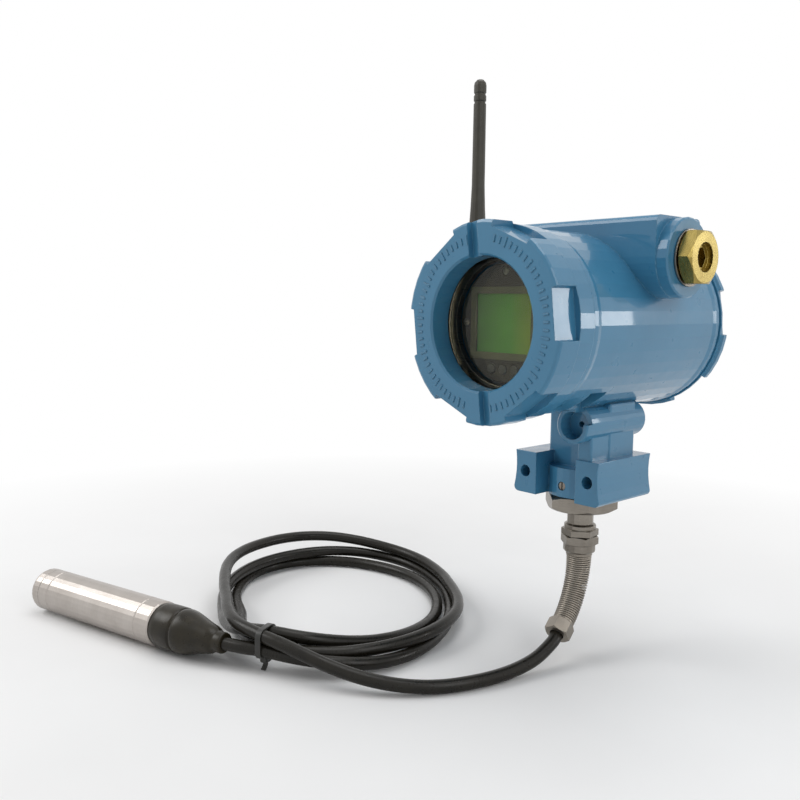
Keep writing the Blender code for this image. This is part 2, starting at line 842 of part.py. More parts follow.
def cut_notches(item, face, depth):
    """Cut the notches between the lugs, from the outer face at that height to just past the lugs' end."""
    width = math.radians(NOTCH_WIDTH_DEG)
    reach = LUG_RADIUS * 1.3
    half = reach * math.tan(width / 2)
    for index in range(NOTCH_COUNT):
        notch = box(
            f"{item.name}_notch_{index}",
            (NOTCH_RADIUS, -half * NOTCH_RADIUS / reach, face - depth - NOTCH_PAST_LUG),
            (reach, half * NOTCH_RADIUS / reach, face + PAST),
        )
        taper_wedge(notch, half / reach)
        notch.rotation_euler = (0, 0, math.radians(360 * index / NOTCH_COUNT))
        notch.parent = item
        cut(item, notch)


def taper_wedge(notch, slope):
    """Open a notch's sides outward, and follow the floor's round with its inner edge."""
    for vertex in notch.data.vertices:
        side = 1 if vertex.co.y > 0 else -1
        vertex.co.y = side * vertex.co.x * slope


def make_front_cover():
    """Front cover: face ring with a coned window, lugged skirt, spigot, and two wrench slots."""
    face = FRONT_COVER_DEPTH
    cover = turned(
        "front_cover",
        [
            (WINDOW_RADIUS, face),
            (LUG_RADIUS - COVER_EDGE, face),
            (LUG_RADIUS - COVER_EDGE * 0.3, face - COVER_EDGE * 0.3),
            (LUG_RADIUS, face - COVER_EDGE),
            (LUG_RADIUS, face - FRONT_LUG_DEPTH),
            (SKIRT_RADIUS, face - FRONT_LUG_DEPTH - BEVEL),
            (SKIRT_RADIUS, GAP),
            (SPIGOT_RADIUS, GAP),
            (SPIGOT_RADIUS, -SPIGOT_LENGTH + BEVEL),
            (SPIGOT_RADIUS - BEVEL, -SPIGOT_LENGTH),
            (WINDOW_BORE, -SPIGOT_LENGTH),
            (WINDOW_BORE, face - WINDOW_DEPTH),
            (WINDOW_THROAT, face - WINDOW_DEPTH),
            (WINDOW_THROAT, face - WINDOW_DEPTH + 0.0020),
            (WINDOW_RADIUS - BEVEL, face - BEVEL),
        ],
        (PAINT, 0.32),
        FINE,
        ring=True,
    )
    cut_notches(cover, face, FRONT_LUG_DEPTH)
    for index in range(2):
        slot = box(
            f"wrench_slot_{index}",
            (WINDOW_RADIUS - WRENCH_SLOT_LAP, -WRENCH_SLOT_WIDTH / 2, face - WRENCH_SLOT_DEPTH),
            (LUG_RADIUS + WRENCH_SLOT_LAP, WRENCH_SLOT_WIDTH / 2, face + WRENCH_SLOT_LAP),
        )
        slot.rotation_euler = (0, 0, math.radians(WRENCH_SLOT_TURN_DEG + 180 * index))
        slot.parent = cover
        cut(cover, slot)
    return smooth(turn_cover(along_y(cover, FRONT_SEAM_Y), 1))


def turn_cover(cover, side):
    """Point a cover outward, forward or backward, and turn its lugs round to where they stand."""
    outward = Matrix.Rotation(math.radians(90 * side), 3, "X")
    round_axis = Matrix.Rotation(math.radians(NOTCH_TURN_DEG * side), 3, "Z")
    cover.rotation_euler = (outward @ round_axis).to_euler()
    return cover


def make_rear_cover():
    """Rear cover: a closed disc with the same lugs and spigot."""
    face = REAR_COVER_DEPTH
    hollow = SPIGOT_RADIUS - SPIGOT_WALL
    cover = turned(
        "rear_cover",
        [
            (0, face),
            (LUG_RADIUS - COVER_EDGE, face),
            (LUG_RADIUS - COVER_EDGE * 0.3, face - COVER_EDGE * 0.3),
            (LUG_RADIUS, face - COVER_EDGE),
            (LUG_RADIUS, face - REAR_LUG_DEPTH),
            (SKIRT_RADIUS, face - REAR_LUG_DEPTH - EDGE),
            (SKIRT_RADIUS, GAP),
            (SPIGOT_RADIUS, GAP),
            (SPIGOT_RADIUS, -SPIGOT_LENGTH + BEVEL),
            (SPIGOT_RADIUS - BEVEL, -SPIGOT_LENGTH),
            (hollow, -SPIGOT_LENGTH),
            (hollow, face - REAR_COVER_WALL),
            (0, face - REAR_COVER_WALL),
        ],
        (PAINT, 0.32),
        FINE,
    )
    cut_notches(cover, face, REAR_LUG_DEPTH)
    return smooth(turn_cover(along_y(cover, REAR_SEAM_Y), -1))


def make_seal_rings():
    """Rubber rings that sit between each cover and the body."""
    middle = THREAD_RADIUS + RING_SEAT_WIDTH / 2
    for name, seam, side in (("front_seal_ring", FRONT_SEAM_Y, 1), ("rear_seal_ring", REAR_SEAM_Y, -1)):
        section = arc((middle, side * RING_SEAT_DEPTH / 2), SEAL_RADIUS, 0, 300, 5)
        seal = turned(name, section, (BLACK, 0.6), MEDIUM, ring=True)
        along_y(seal, seam)


def make_window():
    """Gasket, glass and clamp ring, stacked in the cover's bore."""
    outer = WINDOW_BORE - SLIP
    gasket_front = GLASS_FRONT_Y - GAP - GASKET_THICKNESS
    along_y(
        tube("window_gasket", outer, WINDOW_THROAT + 0.0006, 0, GASKET_THICKNESS, (BLACK, 0.7), MEDIUM),
        gasket_front,
    )
    along_y(
        rod("window_glass", outer, 0, GLASS_THICKNESS, (GLASS, 0.03), MEDIUM),
        GLASS_FRONT_Y,
    )
    along_y(
        tube(
            "window_clamp_ring",
            outer,
            outer - CLAMP_RING_WIDTH,
            0,
            CLAMP_RING_THICKNESS,
            (STEEL, 0.4, 1.0),
            MEDIUM,
        ),
        CLAMP_RING_Y,
    )


# Display


def make_display():
    """Round display case with its LCD, frame, lamp, buttons and screws, on legs from the main board."""
    drum = DISPLAY_FLANGE_Y - DISPLAY_FACE_Y
    case = along_y(
        turned(
            "display_case",
            [
                (0, 0),
                (DISPLAY_RADIUS - EDGE, 0),
                (DISPLAY_RADIUS, EDGE),
                (DISPLAY_RADIUS, drum),
                (DISPLAY_FLANGE_RADIUS, drum),
                (DISPLAY_FLANGE_RADIUS, drum + DISPLAY_FLANGE),
                (DISPLAY_RADIUS - DISPLAY_WALL, drum + DISPLAY_FLANGE),
                (DISPLAY_RADIUS - DISPLAY_WALL, DISPLAY_WALL + LCD_SINK),
                (0, DISPLAY_WALL + LCD_SINK),
            ],
            (DISPLAY_PLASTIC, 0.45),
            MEDIUM,
        ),
        DISPLAY_FACE_Y,
    )
    front = DISPLAY_FACE_Y
    window = box(
        "lcd_window",
        (-LCD_WIDTH / 2 - GAP, front - 0.002, HOUSING_Z - LCD_HEIGHT / 2 - GAP),
        (LCD_WIDTH / 2 + GAP, front + LCD_SINK, HOUSING_Z + LCD_HEIGHT / 2 + GAP),
    )
    cut(case, window)
    wall_back = front + DISPLAY_WALL + LCD_SINK
    for index, offset in enumerate((-1, 0, 1)):
        x = offset * BUTTON_SPACING
        z = HOUSING_Z - BUTTON_DROP
        bore = along_y(
            rod(f"button_bore_{index}", BUTTON_RADIUS + SLIP, -0.002, 0.006, sides=TINY), front, x, z
        )
        cut(case, bore)
        press = along_y(
            turned(
                ("display_button_left", "display_button_middle", "display_button_right")[index],
                [
                    (0, -BUTTON_PROUD),
                    (BUTTON_RADIUS - 0.0004, -BUTTON_PROUD),
                    (BUTTON_RADIUS, -BUTTON_PROUD + 0.0004),
                    (BUTTON_RADIUS, wall_back - front + GAP),
                    (BUTTON_RADIUS + BUTTON_FLANGE, wall_back - front + GAP),
                    (BUTTON_RADIUS + BUTTON_FLANGE, wall_back - front + GAP + BUTTON_FLANGE),
                    (0, wall_back - front + GAP + BUTTON_FLANGE),
                ],
                (BUTTON_PLASTIC, 0.4),
                TINY,
            ),
            front,
            x,
            z,
        )
        smooth(press)
    lamp_bore = along_y(
        rod("lamp_bore", LAMP_RADIUS + SLIP, -0.002, 0.006, sides=TINY), front, 0, HOUSING_Z + LAMP_RISE
    )
    cut(case, lamp_bore)
    along_y(
        turned(
            "status_lamp",
            [
                (0, -0.0004),
                (LAMP_RADIUS, 0.0002),
                (LAMP_RADIUS, wall_back - front - 0.0004),
                (0, wall_back - front - 0.0004),
            ],
            (LAMP_LENS, 0.2),
            TINY,
        ),
        front,
        0,
        HOUSING_Z + LAMP_RISE,
    )
    for index in range(3):
        angle = math.radians(90 + 120 * index)
        leg = along_y(
            rod(
                f"display_leg_{index}",
                DISPLAY_LEG_RADIUS,
                drum + DISPLAY_FLANGE - LAP,
                BOARD_FRONT_Y - GAP - front,
                sides=TINY,
            ),
            front,
            (DISPLAY_RADIUS + DISPLAY_LEG_OUT) * math.cos(angle),
            HOUSING_Z + (DISPLAY_RADIUS + DISPLAY_LEG_OUT) * math.sin(angle),
        )
        join(case, leg)
    for side, name in ((-1, "display_screw_left"), (1, "display_screw_right")):
        hole = along_y(
            rod(f"{name}_hole", SCREW_SHANK_RADIUS + SLIP, -0.002, 0.006, sides=TINY),
            front,
            side * SCREW_SPREAD,
            HOUSING_Z,
        )
        cut(case, hole)
        pan_screw(name, SCREW_HEAD_RADIUS, SCREW_SHANK_RADIUS, 0.0040, (STEEL, 0.35, 1.0), (
            side * SCREW_SPREAD, front - GAP, HOUSING_Z))
    smooth(case)
    box(
        "lcd_panel",
        (-LCD_WIDTH / 2, front + LCD_SINK - GAP - LCD_THICKNESS, HOUSING_Z - LCD_HEIGHT / 2),
        (LCD_WIDTH / 2, front + LCD_SINK - GAP, HOUSING_Z + LCD_HEIGHT / 2),
        (LCD_GREEN, 0.25),
    )
    frame = box(
        "lcd_frame",
        (-LCD_WIDTH / 2 - FRAME_RIM, front - GAP - FRAME_THICKNESS, HOUSING_Z - LCD_HEIGHT / 2 - FRAME_RIM),
        (LCD_WIDTH / 2 + FRAME_RIM, front - GAP, HOUSING_Z + LCD_HEIGHT / 2 + FRAME_RIM),
        (LCD_RIM, 0.4),
    )
    opening = box(
        "lcd_frame_opening",
        (-LCD_WIDTH / 2 + 0.0013, front - PAST, HOUSING_Z - LCD_HEIGHT / 2 + BEVEL),
        (LCD_WIDTH / 2 - 0.0013, front + PAST, HOUSING_Z + LCD_HEIGHT / 2 - BEVEL),
    )
    cut(frame, opening)


def pan_screw(name, head, shank, length, finish, at):
    """A slotted round-head screw whose head stands forward of its seat, axis along Y."""
    screw = along_y(
        turned(
            name,
            [
                (0, -head * 0.75),
                (head * 0.62, -head * 0.68),
                (head, -head * 0.25),
                (head, 0),
                (shank, 0),
                (shank, length),
                (0, length),
            ],
            finish,
            TINY,
        ),
        at[1],
        at[0],
        at[2],
    )
    slot = box(
        f"{name}_slot",
        (-head * 1.2, at[1] - head, at[2] - head * 0.14),
        (head * 1.2, at[1] - head * 0.40, at[2] + head * 0.14),
    )
    slot.location.x = at[0]
    cut(screw, slot)
    return smooth(screw)


# Boards, battery and terminals


def make_main_board():
    """Round board behind the display, on the casting's four posts."""
    along_y(
        rod("main_board", MAIN_BOARD_RADIUS, 0, BOARD_THICKNESS, (BOARD_GREEN, 0.5), MEDIUM),
        BOARD_FRONT_Y,
    )


def make_battery():
    """Battery across the rear chamber, in a tray on the casting's two posts."""
    tray_front = PARTITION_REAR_Y + TRAY_STAND
    half = BATTERY_LENGTH / 2 + GAP
    wall = TRAY_THICKNESS
    height = BATTERY_RADIUS * TRAY_HOLD
    centre = HOUSING_Z + BATTERY_Z
    tray = box(
        "battery_tray",
        (-half - wall, tray_front, centre - height),
        (half + wall, tray_front + wall + TRAY_WALL_HEIGHT, centre + height),
        (TRAY_PLASTIC, 0.5),
    )
    hollow = box(
        "battery_tray_hollow",
        (-half, tray_front + wall, centre - height - PAST),
        (half, tray_front + wall + TRAY_WALL_HEIGHT + PAST, centre + height + PAST),
    )
    cut(tray, hollow)
    along_x(
        turned(
            "battery",
            [
                (0, BATTERY_LENGTH / 2),
                (BATTERY_RADIUS - BEVEL, BATTERY_LENGTH / 2),
                (BATTERY_RADIUS, BATTERY_LENGTH / 2 - BEVEL),
                (BATTERY_RADIUS, -BATTERY_LENGTH / 2 + BEVEL),
                (BATTERY_RADIUS - BEVEL, -BATTERY_LENGTH / 2),
                (0, -BATTERY_LENGTH / 2),
            ],
            (BATTERY_SLEEVE, 0.4),
            MEDIUM,
        ),
        0.0,
        tray_front + wall + GAP + BATTERY_RADIUS,
        centre,
    )


def make_terminals():
    """Terminal block on the partition's rear face, with its row of screws."""
    back = PARTITION_REAR_Y + GAP
    centre = HOUSING_Z + TERMINAL_Z
    block = box(
        "terminal_block",
        (-TERMINAL_WIDTH / 2, back, centre - TERMINAL_HEIGHT / 2),
        (TERMINAL_WIDTH / 2, back + TERMINAL_DEPTH, centre + TERMINAL_HEIGHT / 2),
        (TERMINAL_PLASTIC, 0.5),
        edge=EDGE,
    )
    for index in range(TERMINAL_COUNT):
        x = (index - (TERMINAL_COUNT - 1) / 2) * TERMINAL_PITCH
        face = back + TERMINAL_DEPTH
        hole = along_y(
            rod(
                f"terminal_hole_{index}",
                TERMINAL_SCREW_RADIUS * SHANK_SHARE + SLIP,
                -TERMINAL_HOLE_DEPTH,
                LAP,
                sides=TINY,
            ),
            face,
            x,
            centre,
        )
        cut(block, hole)
        screw = pan_screw(
            f"terminal_screw_{index + 1}",
            TERMINAL_SCREW_RADIUS,
            TERMINAL_SCREW_RADIUS * SHANK_SHARE,
            TERMINAL_SCREW_LENGTH,
            (BRASS, 0.35, 1.0),
            (0, 0, 0),
        )
        screw.rotation_euler = (math.radians(90), 0, 0)
        screw.location = (x, face + GAP, centre)
        slot = bpy.data.objects[f"terminal_screw_{index + 1}_slot"]
        slot.rotation_euler = (0, 0, math.pi)
        slot.location = (x, face + GAP, centre)


# Brass plug and antenna


def make_plug():
    """Hexagon plug with a round recess and a key socket, and the washer under its head."""
    seat = BOSS_REACH + GAP
    along_x(
        tube(
            "plug_washer",
            WASHER_RADIUS,
            CONDUIT_RADIUS,
            0,
            WASHER_THICKNESS,
            (STEEL, 0.3, 1.0),
            MEDIUM,
        ),
        seat,
    )
    plug = hexagon("conduit_plug", PLUG_FLATS, 0, PLUG_HEAD, (BRASS, 0.35, 1.0), 0.0016)
    shank = rod("plug_shank", CONDUIT_RADIUS - SLIP, -PLUG_SHANK, LAP, sides=MEDIUM)
    recess = rod("plug_recess", PLUG_RECESS_RADIUS, PLUG_HEAD - PLUG_RECESS_DEPTH, PLUG_HEAD + PAST)
    key_top = PLUG_HEAD - PLUG_RECESS_DEPTH + LAP
    key = hexagon("plug_key", PLUG_KEY_FLATS, key_top - LAP - PLUG_KEY_DEPTH, key_top)
    for piece in (shank, recess, key):
        piece.parent = plug
    join(plug, shank)
    cut(plug, recess, key)
    along_x(plug, seat + WASHER_THICKNESS + GAP)
    plug.rotation_euler = (0, math.radians(90), 0)
    return smooth(plug)


def make_antenna():
    """Adapter in the far boss, a swivel base with a fork, and the whip on its cross pin."""
    seat = -BOSS_REACH - GAP
    adapter = hexagon("antenna_adapter", ADAPTER_FLATS, 0, ADAPTER_HEX, (BRASS, 0.4, 1.0), 0.0014)
    nose = rod("adapter_nose", ADAPTER_NOSE_RADIUS, ADAPTER_HEX - LAP, ADAPTER_HEX + ADAPTER_NOSE)
    shank = rod("adapter_shank", CONDUIT_RADIUS - SLIP, -PLUG_SHANK, LAP, sides=MEDIUM)
    for piece in (nose, shank):
        piece.parent = adapter
    join(adapter, nose, shank)
    along_x(adapter, seat, side=-1)
    smooth(adapter)

    dark = (ANTENNA_RUBBER, 0.55)
    swivel_start = ADAPTER_HEX + ADAPTER_NOSE + GAP
    pivot = WHIP_FROM_BOSS - GAP
    reach = TONGUE_THICKNESS / 2 + SLIP + FORK_ARM
    base = along_x(
        turned(
            "antenna_swivel",
            [
                (0, swivel_start),
                (SWIVEL_RADIUS - 0.0005, swivel_start),
                (SWIVEL_RADIUS, swivel_start + 0.0005),
                (SWIVEL_RADIUS, swivel_start + SWIVEL_LENGTH),
                (0, swivel_start + SWIVEL_LENGTH),
            ],
            dark,
            SMALL,
        ),
        seat,
        side=-1,
    )
    pivot_x = seat - pivot
    fork_start = seat - swivel_start - SWIVEL_LENGTH + LAP
    fork = box(
        "fork",
        (pivot_x - FORK_REACH * 0.75, NECK_Y - reach, CONDUIT_HEIGHT - SWIVEL_RADIUS * 0.8),
        (fork_start, NECK_Y + reach, CONDUIT_HEIGHT + SWIVEL_RADIUS * 0.8),
        edge=BEVEL,
    )
    gap = box(
        "fork_gap",
        (pivot_x - FORK_REACH - PAST, NECK_Y - TONGUE_THICKNESS / 2 - SLIP, CONDUIT_HEIGHT - 2 * PAST),
        (pivot_x + FORK_REACH * 0.72, NECK_Y + TONGUE_THICKNESS / 2 + SLIP, CONDUIT_HEIGHT + 2 * PAST),
    )
    pin_bore = place(
        rod("pin_bore", PIVOT_RADIUS + SLIP, -2 * PAST, 2 * PAST, sides=TINY),
        (pivot_x, NECK_Y, CONDUIT_HEIGHT),
        (90, 0, 0),
    )
    join(base, fork)
    cut(base, gap, pin_bore)
    smooth(base)
    place(
        rod("antenna_pin", PIVOT_RADIUS, -reach + PIN_SHY, reach - PIN_SHY, (STEEL, 0.35, 1.0), TINY),
        (pivot_x, NECK_Y, CONDUIT_HEIGHT),
        (90, 0, 0),
    )
    make_whip(pivot_x, dark)


def make_whip(pivot_x, dark):
    """Rubber whip: a flared foot, two ring grooves under a round tip, and the tongue in the fork."""
    top = WHIP_LENGTH
    tip = WHIP_TOP_RADIUS
    groove = tip - WHIP_GROOVE_DEPTH
    profile = [(0, top), (tip * 0.55, top - tip * 0.16), (tip * 0.9, top - tip * 0.55), (tip, top - tip)]
    for below in WHIP_GROOVES:
        profile += [
            (tip, top - below),
            (groove, top - below - 0.0006),
            (groove, top - below - 0.0014),
            (tip, top - below - 0.0020),
        ]
    flare_top = WHIP_FOOT_RISE + WHIP_FLARE_LENGTH
    slim = tip + 0.0002
    profile += [
        (slim, flare_top),
        (slim + (WHIP_FOOT_RADIUS - slim) * 0.35, flare_top - WHIP_FLARE_LENGTH * 0.35),
        (slim + (WHIP_FOOT_RADIUS - slim) * 0.90, flare_top - WHIP_FLARE_LENGTH * 0.70),
        (WHIP_FOOT_RADIUS, WHIP_FOOT_RISE + 0.004),
        (WHIP_FOOT_RADIUS - 0.0006, WHIP_FOOT_RISE),
        (0, WHIP_FOOT_RISE),
    ]
    whip = turned("antenna_whip", profile, dark, SMALL)
    tongue = box(
        "tongue",
        (-SWIVEL_RADIUS * 0.6, -TONGUE_THICKNESS / 2, -SWIVEL_RADIUS * 0.6),
        (SWIVEL_RADIUS * 0.6, TONGUE_THICKNESS / 2, WHIP_FOOT_RISE + 0.002),
    )
    bore = place(rod("tongue_bore", PIVOT_RADIUS + SLIP, -2 * PAST, 2 * PAST, sides=TINY), turn=(90, 0, 0))
    for piece in (tongue, bore):
        piece.parent = whip
    join(whip, tongue)
    cut(whip, bore)
    place(whip, (pivot_x, NECK_Y, CONDUIT_HEIGHT))
    return smooth(whip)


# Gland, guard and cable


def make_lock_screw():
    """Slotted set screw in the neck's base."""
    depth = LOCK_SCREW_LENGTH
    front = NECK_Y - BASE_RADIUS
    z = BLOCK_BOTTOM + LOCK_SCREW_RISE
    screw = along_y(
        rod("lock_screw", LOCK_SCREW_RADIUS, 0.0006, depth, (STEEL, 0.35, 1.0), TINY), front, 0.0, z
    )
    slot = box(
        "lock_screw_slot",
        (-0.0004, front - LAP, z - LOCK_SCREW_RADIUS * 1.5),
        (0.0004, front + 0.0016, z + LOCK_SCREW_RADIUS * 1.5),
    )
    cut(screw, slot)
    return smooth(screw)


def make_gland():
    """Hexagon adapter in the neck, gland body, seal sleeve, gland nut and the guard's collar."""
    steel = (STEEL, 0.34, 1.0)
    adapter = hexagon("hex_adapter", HEX_ADAPTER_FLATS, HEX_BOTTOM_Z, HEX_TOP_Z, steel, 0.0022)
    nipple = rod(
        "nipple", NECK_BORE_RADIUS - SLIP, HEX_TOP_Z - LAP, BLOCK_BOTTOM + NIPPLE_LENGTH, sides=MEDIUM
    )
    bore = rod("adapter_bore", CABLE_ROOM + SLIP, HEX_BOTTOM_Z - PAST, BLOCK_BOTTOM + NIPPLE_LENGTH + PAST)
    for piece in (nipple, bore):
        piece.parent = adapter
    join(adapter, nipple)
    cut(adapter, bore)
    place(adapter, (0, NECK_Y, 0), (0, 0, HEX_ADAPTER_TURN_DEG))
    smooth(adapter)

    ring_z = GLAND_TOP_Z - GLAND_NECK
    hex_z = ring_z - GLAND_RING
    pocket = SEAL_SLEEVE_WALL + CABLE_ROOM + SLIP
    body = turned(
        "gland_body",
        [
            (0, GLAND_TOP_Z),
            (GLAND_NECK_RADIUS, GLAND_TOP_Z),
            (GLAND_NECK_RADIUS, ring_z),
            (GLAND_RING_RADIUS, ring_z - BEVEL),
            (GLAND_RING_RADIUS, hex_z + 0.0006),
            (GLAND_RING_RADIUS - 0.0006, hex_z - LAP),
            (0, hex_z - LAP),
        ],
        steel,
        SMALL,
    )
    lower = hexagon("gland_hex", GLAND_FLATS, GLAND_BOTTOM_Z, hex_z)
    room = turned(
        "gland_room",
        [
            (0, GLAND_TOP_Z + PAST),
            (CABLE_ROOM + SLIP, GLAND_TOP_Z + PAST),
            (CABLE_ROOM + SLIP, hex_z - 0.0004),
            (pocket + SLIP, hex_z - 0.0004),
            (pocket + SLIP, GLAND_BOTTOM_Z - PAST),
            (0, GLAND_BOTTOM_Z - PAST),
        ],
        sides=SMALL,
    )
    for piece in (lower, room):
        piece.parent = body
    join(body, lower)
    cut(body, room)
    place(body, (0, NECK_Y, 0), (0, 0, GLAND_TURN_DEG))
    smooth(body)

    sleeve_low = NUT_BOTTOM_Z + GLAND_SEAL_SEAT
    sleeve = tube(
        "gland_seal",
        pocket,
        CABLE_ROOM,
        sleeve_low + GAP,
        hex_z - 0.0004 - GAP,
        (BLACK, 0.7),
        SMALL,
    )
    place(sleeve, (0, NECK_Y, 0))

    ring_top = NUT_TOP_Z - GLAND_NUT_HEX
    nut = hexagon("gland_nut", GLAND_NUT_FLATS, ring_top, NUT_TOP_Z, steel, EDGE)
    skirt = turned(
        "nut_skirt",
        [
            (0, ring_top + LAP),
            (GLAND_NUT_RING_RADIUS, ring_top + LAP),
            (GLAND_NUT_RING_RADIUS, NUT_BOTTOM_Z + EDGE),
            (GLAND_NUT_RING_RADIUS - EDGE, NUT_BOTTOM_Z),
            (0, NUT_BOTTOM_Z),
        ],
        sides=SMALL,
    )
    room = turned(
        "nut_room",
        [
            (0, NUT_TOP_Z + PAST),
            (pocket + SLIP, NUT_TOP_Z + PAST),
            (pocket + SLIP, sleeve_low),
            (CABLE_ROOM + SLIP, sleeve_low),
            (CABLE_ROOM + SLIP, NUT_BOTTOM_Z - PAST),
            (0, NUT_BOTTOM_Z - PAST),
        ],
        sides=SMALL,
    )
    for piece in (skirt, room):
        piece.parent = nut
    join(nut, skirt)
    cut(nut, room)
    place(nut, (0, NECK_Y, 0), (0, 0, GLAND_NUT_TURN_DEG))
    smooth(nut)

    collar = tube(
        "guard_collar",
        COLLAR_RADIUS,
        CABLE_ROOM + SLIP,
        COLLAR_TOP_Z - COLLAR_LENGTH,
        COLLAR_TOP_Z,
        steel,
        MEDIUM,
    )
    place(collar, (0, NECK_Y, 0))
    smooth(collar)


def guard_point(length):
    """A point on the guard's centreline and its direction, that far below the collar."""
    heading = math.radians(GUARD_HEADING_DEG)
    side = Vector((math.cos(heading), math.sin(heading), 0))
    start = Vector((0, NECK_Y, GUARD_TOP_Z))
    if length <= GUARD_STRAIGHT:
        return start + Vector((0, 0, -length)), Vector((0, 0, -1))
    end_angle = math.radians(GUARD_BEND_DEG)
    angle = min((length - GUARD_STRAIGHT) / GUARD_BEND_RADIUS, end_angle)
    past = length - GUARD_STRAIGHT - angle * GUARD_BEND_RADIUS
    point = start + Vector((0, 0, -GUARD_STRAIGHT))
    point += side * GUARD_BEND_RADIUS * (1 - math.cos(angle))
    point += Vector((0, 0, -1)) * GUARD_BEND_RADIUS * math.sin(angle)
    direction = side * math.sin(angle) + Vector((0, 0, -1)) * math.cos(angle)
    return point + direction * past, direction


GUARD_LENGTH = GUARD_STRAIGHT + GUARD_BEND_RADIUS * math.radians(GUARD_BEND_DEG)
FERRULE_START = GUARD_LENGTH + GAP
FERRULE_END = FERRULE_START + FERRULE_LENGTH


def make_guard():
    """Spiral cable guard: a close-wound tube that tapers along its bend, turned straight and then bent."""
    rings = round(GUARD_LENGTH / GUARD_PITCH)
    pitch = GUARD_LENGTH / rings
    outer = []
    for index in range(rings):
        share = (index + 0.5) / rings
        radius = GUARD_TOP_RADIUS + (GUARD_END_RADIUS - GUARD_TOP_RADIUS) * share
        outer.append((radius - GUARD_GROOVE, index * pitch))
        outer.append((radius, (index + 0.5) * pitch))
    outer.append((GUARD_END_RADIUS - GUARD_GROOVE, GUARD_LENGTH))
    steps = 12
    inner = [(GUARD_BORE_RADIUS, GUARD_LENGTH * (1 - index / steps)) for index in range(steps + 1)]
    guard = turned("spiral_guard", outer + inner, (STEEL, 0.38, 1.0), 12, ring=True)
    path = bpy.data.curves.new("guard_path", "CURVE")
    path.dimensions = "3D"
    spline = path.splines.new("POLY")
    count = 24
    spline.points.add(count)
    for index, point in enumerate(spline.points):
        point.co = (*guard_point(GUARD_LENGTH * index / count)[0], 1.0)
    guide = bpy.data.objects.new("guard_path", path)
    CUTTERS.objects.link(guide)
    guide.hide_render = True
    guide.display_type = "WIRE"
    bend = guard.modifiers.new("Bend", "CURVE")
    bend.object = guide
    bend.deform_axis = "POS_Z"
    return guard


def make_ferrule():
    """Hexagon ferrule at the guard's end, where the cable comes out."""
    start, direction = guard_point(FERRULE_START)
    ferrule = hexagon("guard_ferrule", FERRULE_FLATS, 0, FERRULE_LENGTH, (STEEL, 0.3, 1.0), 0.0009)
    bore = rod("ferrule_bore", FERRULE_BORE_RADIUS, -PAST, FERRULE_LENGTH + PAST)
    bore.parent = ferrule
    cut(ferrule, bore)
    ferrule.location = start
    ferrule.rotation_euler = direction.to_track_quat("Z", "Y").to_euler()
    return smooth(ferrule)


def make_cable():
    """The cable: its inner run, the free lead, the loose loop's outer shape, and the probe's tail."""
    inner_top = HOUSING_Z + TERMINAL_Z - TERMINAL_HEIGHT / 2 - 0.0040
    run = [Vector((0, NECK_Y, inner_top)), Vector((0, NECK_Y, (inner_top + GUARD_TOP_Z) / 2))]
    steps = 10
    end = FERRULE_END - GAP
    for index in range(steps + 1):
        run.append(guard_point(end * index / steps)[0])
    cable_tube("cable_inner_run", run)

    exit_point = guard_point(FERRULE_END + CABLE_END_GAP)[0]
    cable_tube("cable_lead", smooth_route([exit_point] + LEAD_POINTS, CABLE_STEP))

    boot_end = Vector((BOOT_X, BOOT_Y, PROBE_AXIS_Z))
    heading = math.radians(PROBE_HEADING_DEG)
    away = Vector((math.cos(heading), math.sin(heading), 0))
    cable_tube("cable_tail", smooth_route([boot_end + away * CABLE_END_GAP] + TAIL_POINTS, CABLE_STEP / 2))

    loop = tube("cable_loop", LOOP_OUTER, LOOP_INNER, 0, LOOP_HEIGHT, (BLACK, 0.5), 48)
    place(loop, (LOOP_X, LOOP_Y, GROUND_Z))
    waist = box(
        "loop_waist",
        (LOOP_OUTER - TIE_BUNDLE_WIDTH, -2 * PAST, TIE_BAND_THICKNESS + 2 * GAP),
        (LOOP_OUTER + PAST, 2 * PAST, TIE_BAND_THICKNESS + 2 * GAP + TIE_BUNDLE_HEIGHT),
    )
    notch = box(
        "loop_notch",
        (LOOP_INNER - PAST, -TIE_BAND_WIDTH / 2 - 0.0012, -PAST),
        (LOOP_OUTER + 2 * PAST, TIE_BAND_WIDTH / 2 + 0.0012, LOOP_HEIGHT + PAST),
    )
    cut(notch, waist)
    for piece in (waist, notch):
        place(piece, (LOOP_X, LOOP_Y, GROUND_Z), (0, 0, TIE_ANGLE_DEG))
    cut(loop, notch)
    smooth(loop)


def make_tie():
    """Cable tie round the gathered turns: a thin band, a square head and a short tail."""
    inside = LOOP_OUTER - TIE_BUNDLE_WIDTH - GAP
    outside = LOOP_OUTER + GAP
    band = TIE_BAND_THICKNESS
    low = GAP
    high = low + band + 2 * GAP + TIE_BUNDLE_HEIGHT + band
    half = TIE_BAND_WIDTH / 2
    tie = box(
        "cable_tie", (inside - band, -half, low), (outside + band, half, high), (BLACK, 0.45), edge=EDGE
    )
    hollow = box(
        "tie_hollow", (inside, -half * 2, low + band), (outside, half * 2, high - band)
    )
    head = box(
        "tie_head",
        (outside + band - 0.0005, -TIE_HEAD / 2, low + 0.0005),
        (outside + band + TIE_HEAD * 0.8, TIE_HEAD / 2, low + 0.0005 + TIE_HEAD * 0.8),
        edge=0.0006,
    )
    tail = box(
        "tie_tail",
        (outside + band + TIE_HEAD * 0.6, -half * 0.9, low + 0.0016),
        (outside + band + TIE_HEAD * 0.8 + TIE_TAIL, half * 0.9, low + 0.0016 + band),
    )
    for piece in (hollow, head, tail):
        piece.parent = tie
    cut(tie, hollow)
    join(tie, head, tail)
    return place(tie, (LOOP_X, LOOP_Y, GROUND_Z), (0, 0, TIE_ANGLE_DEG))


# Probe


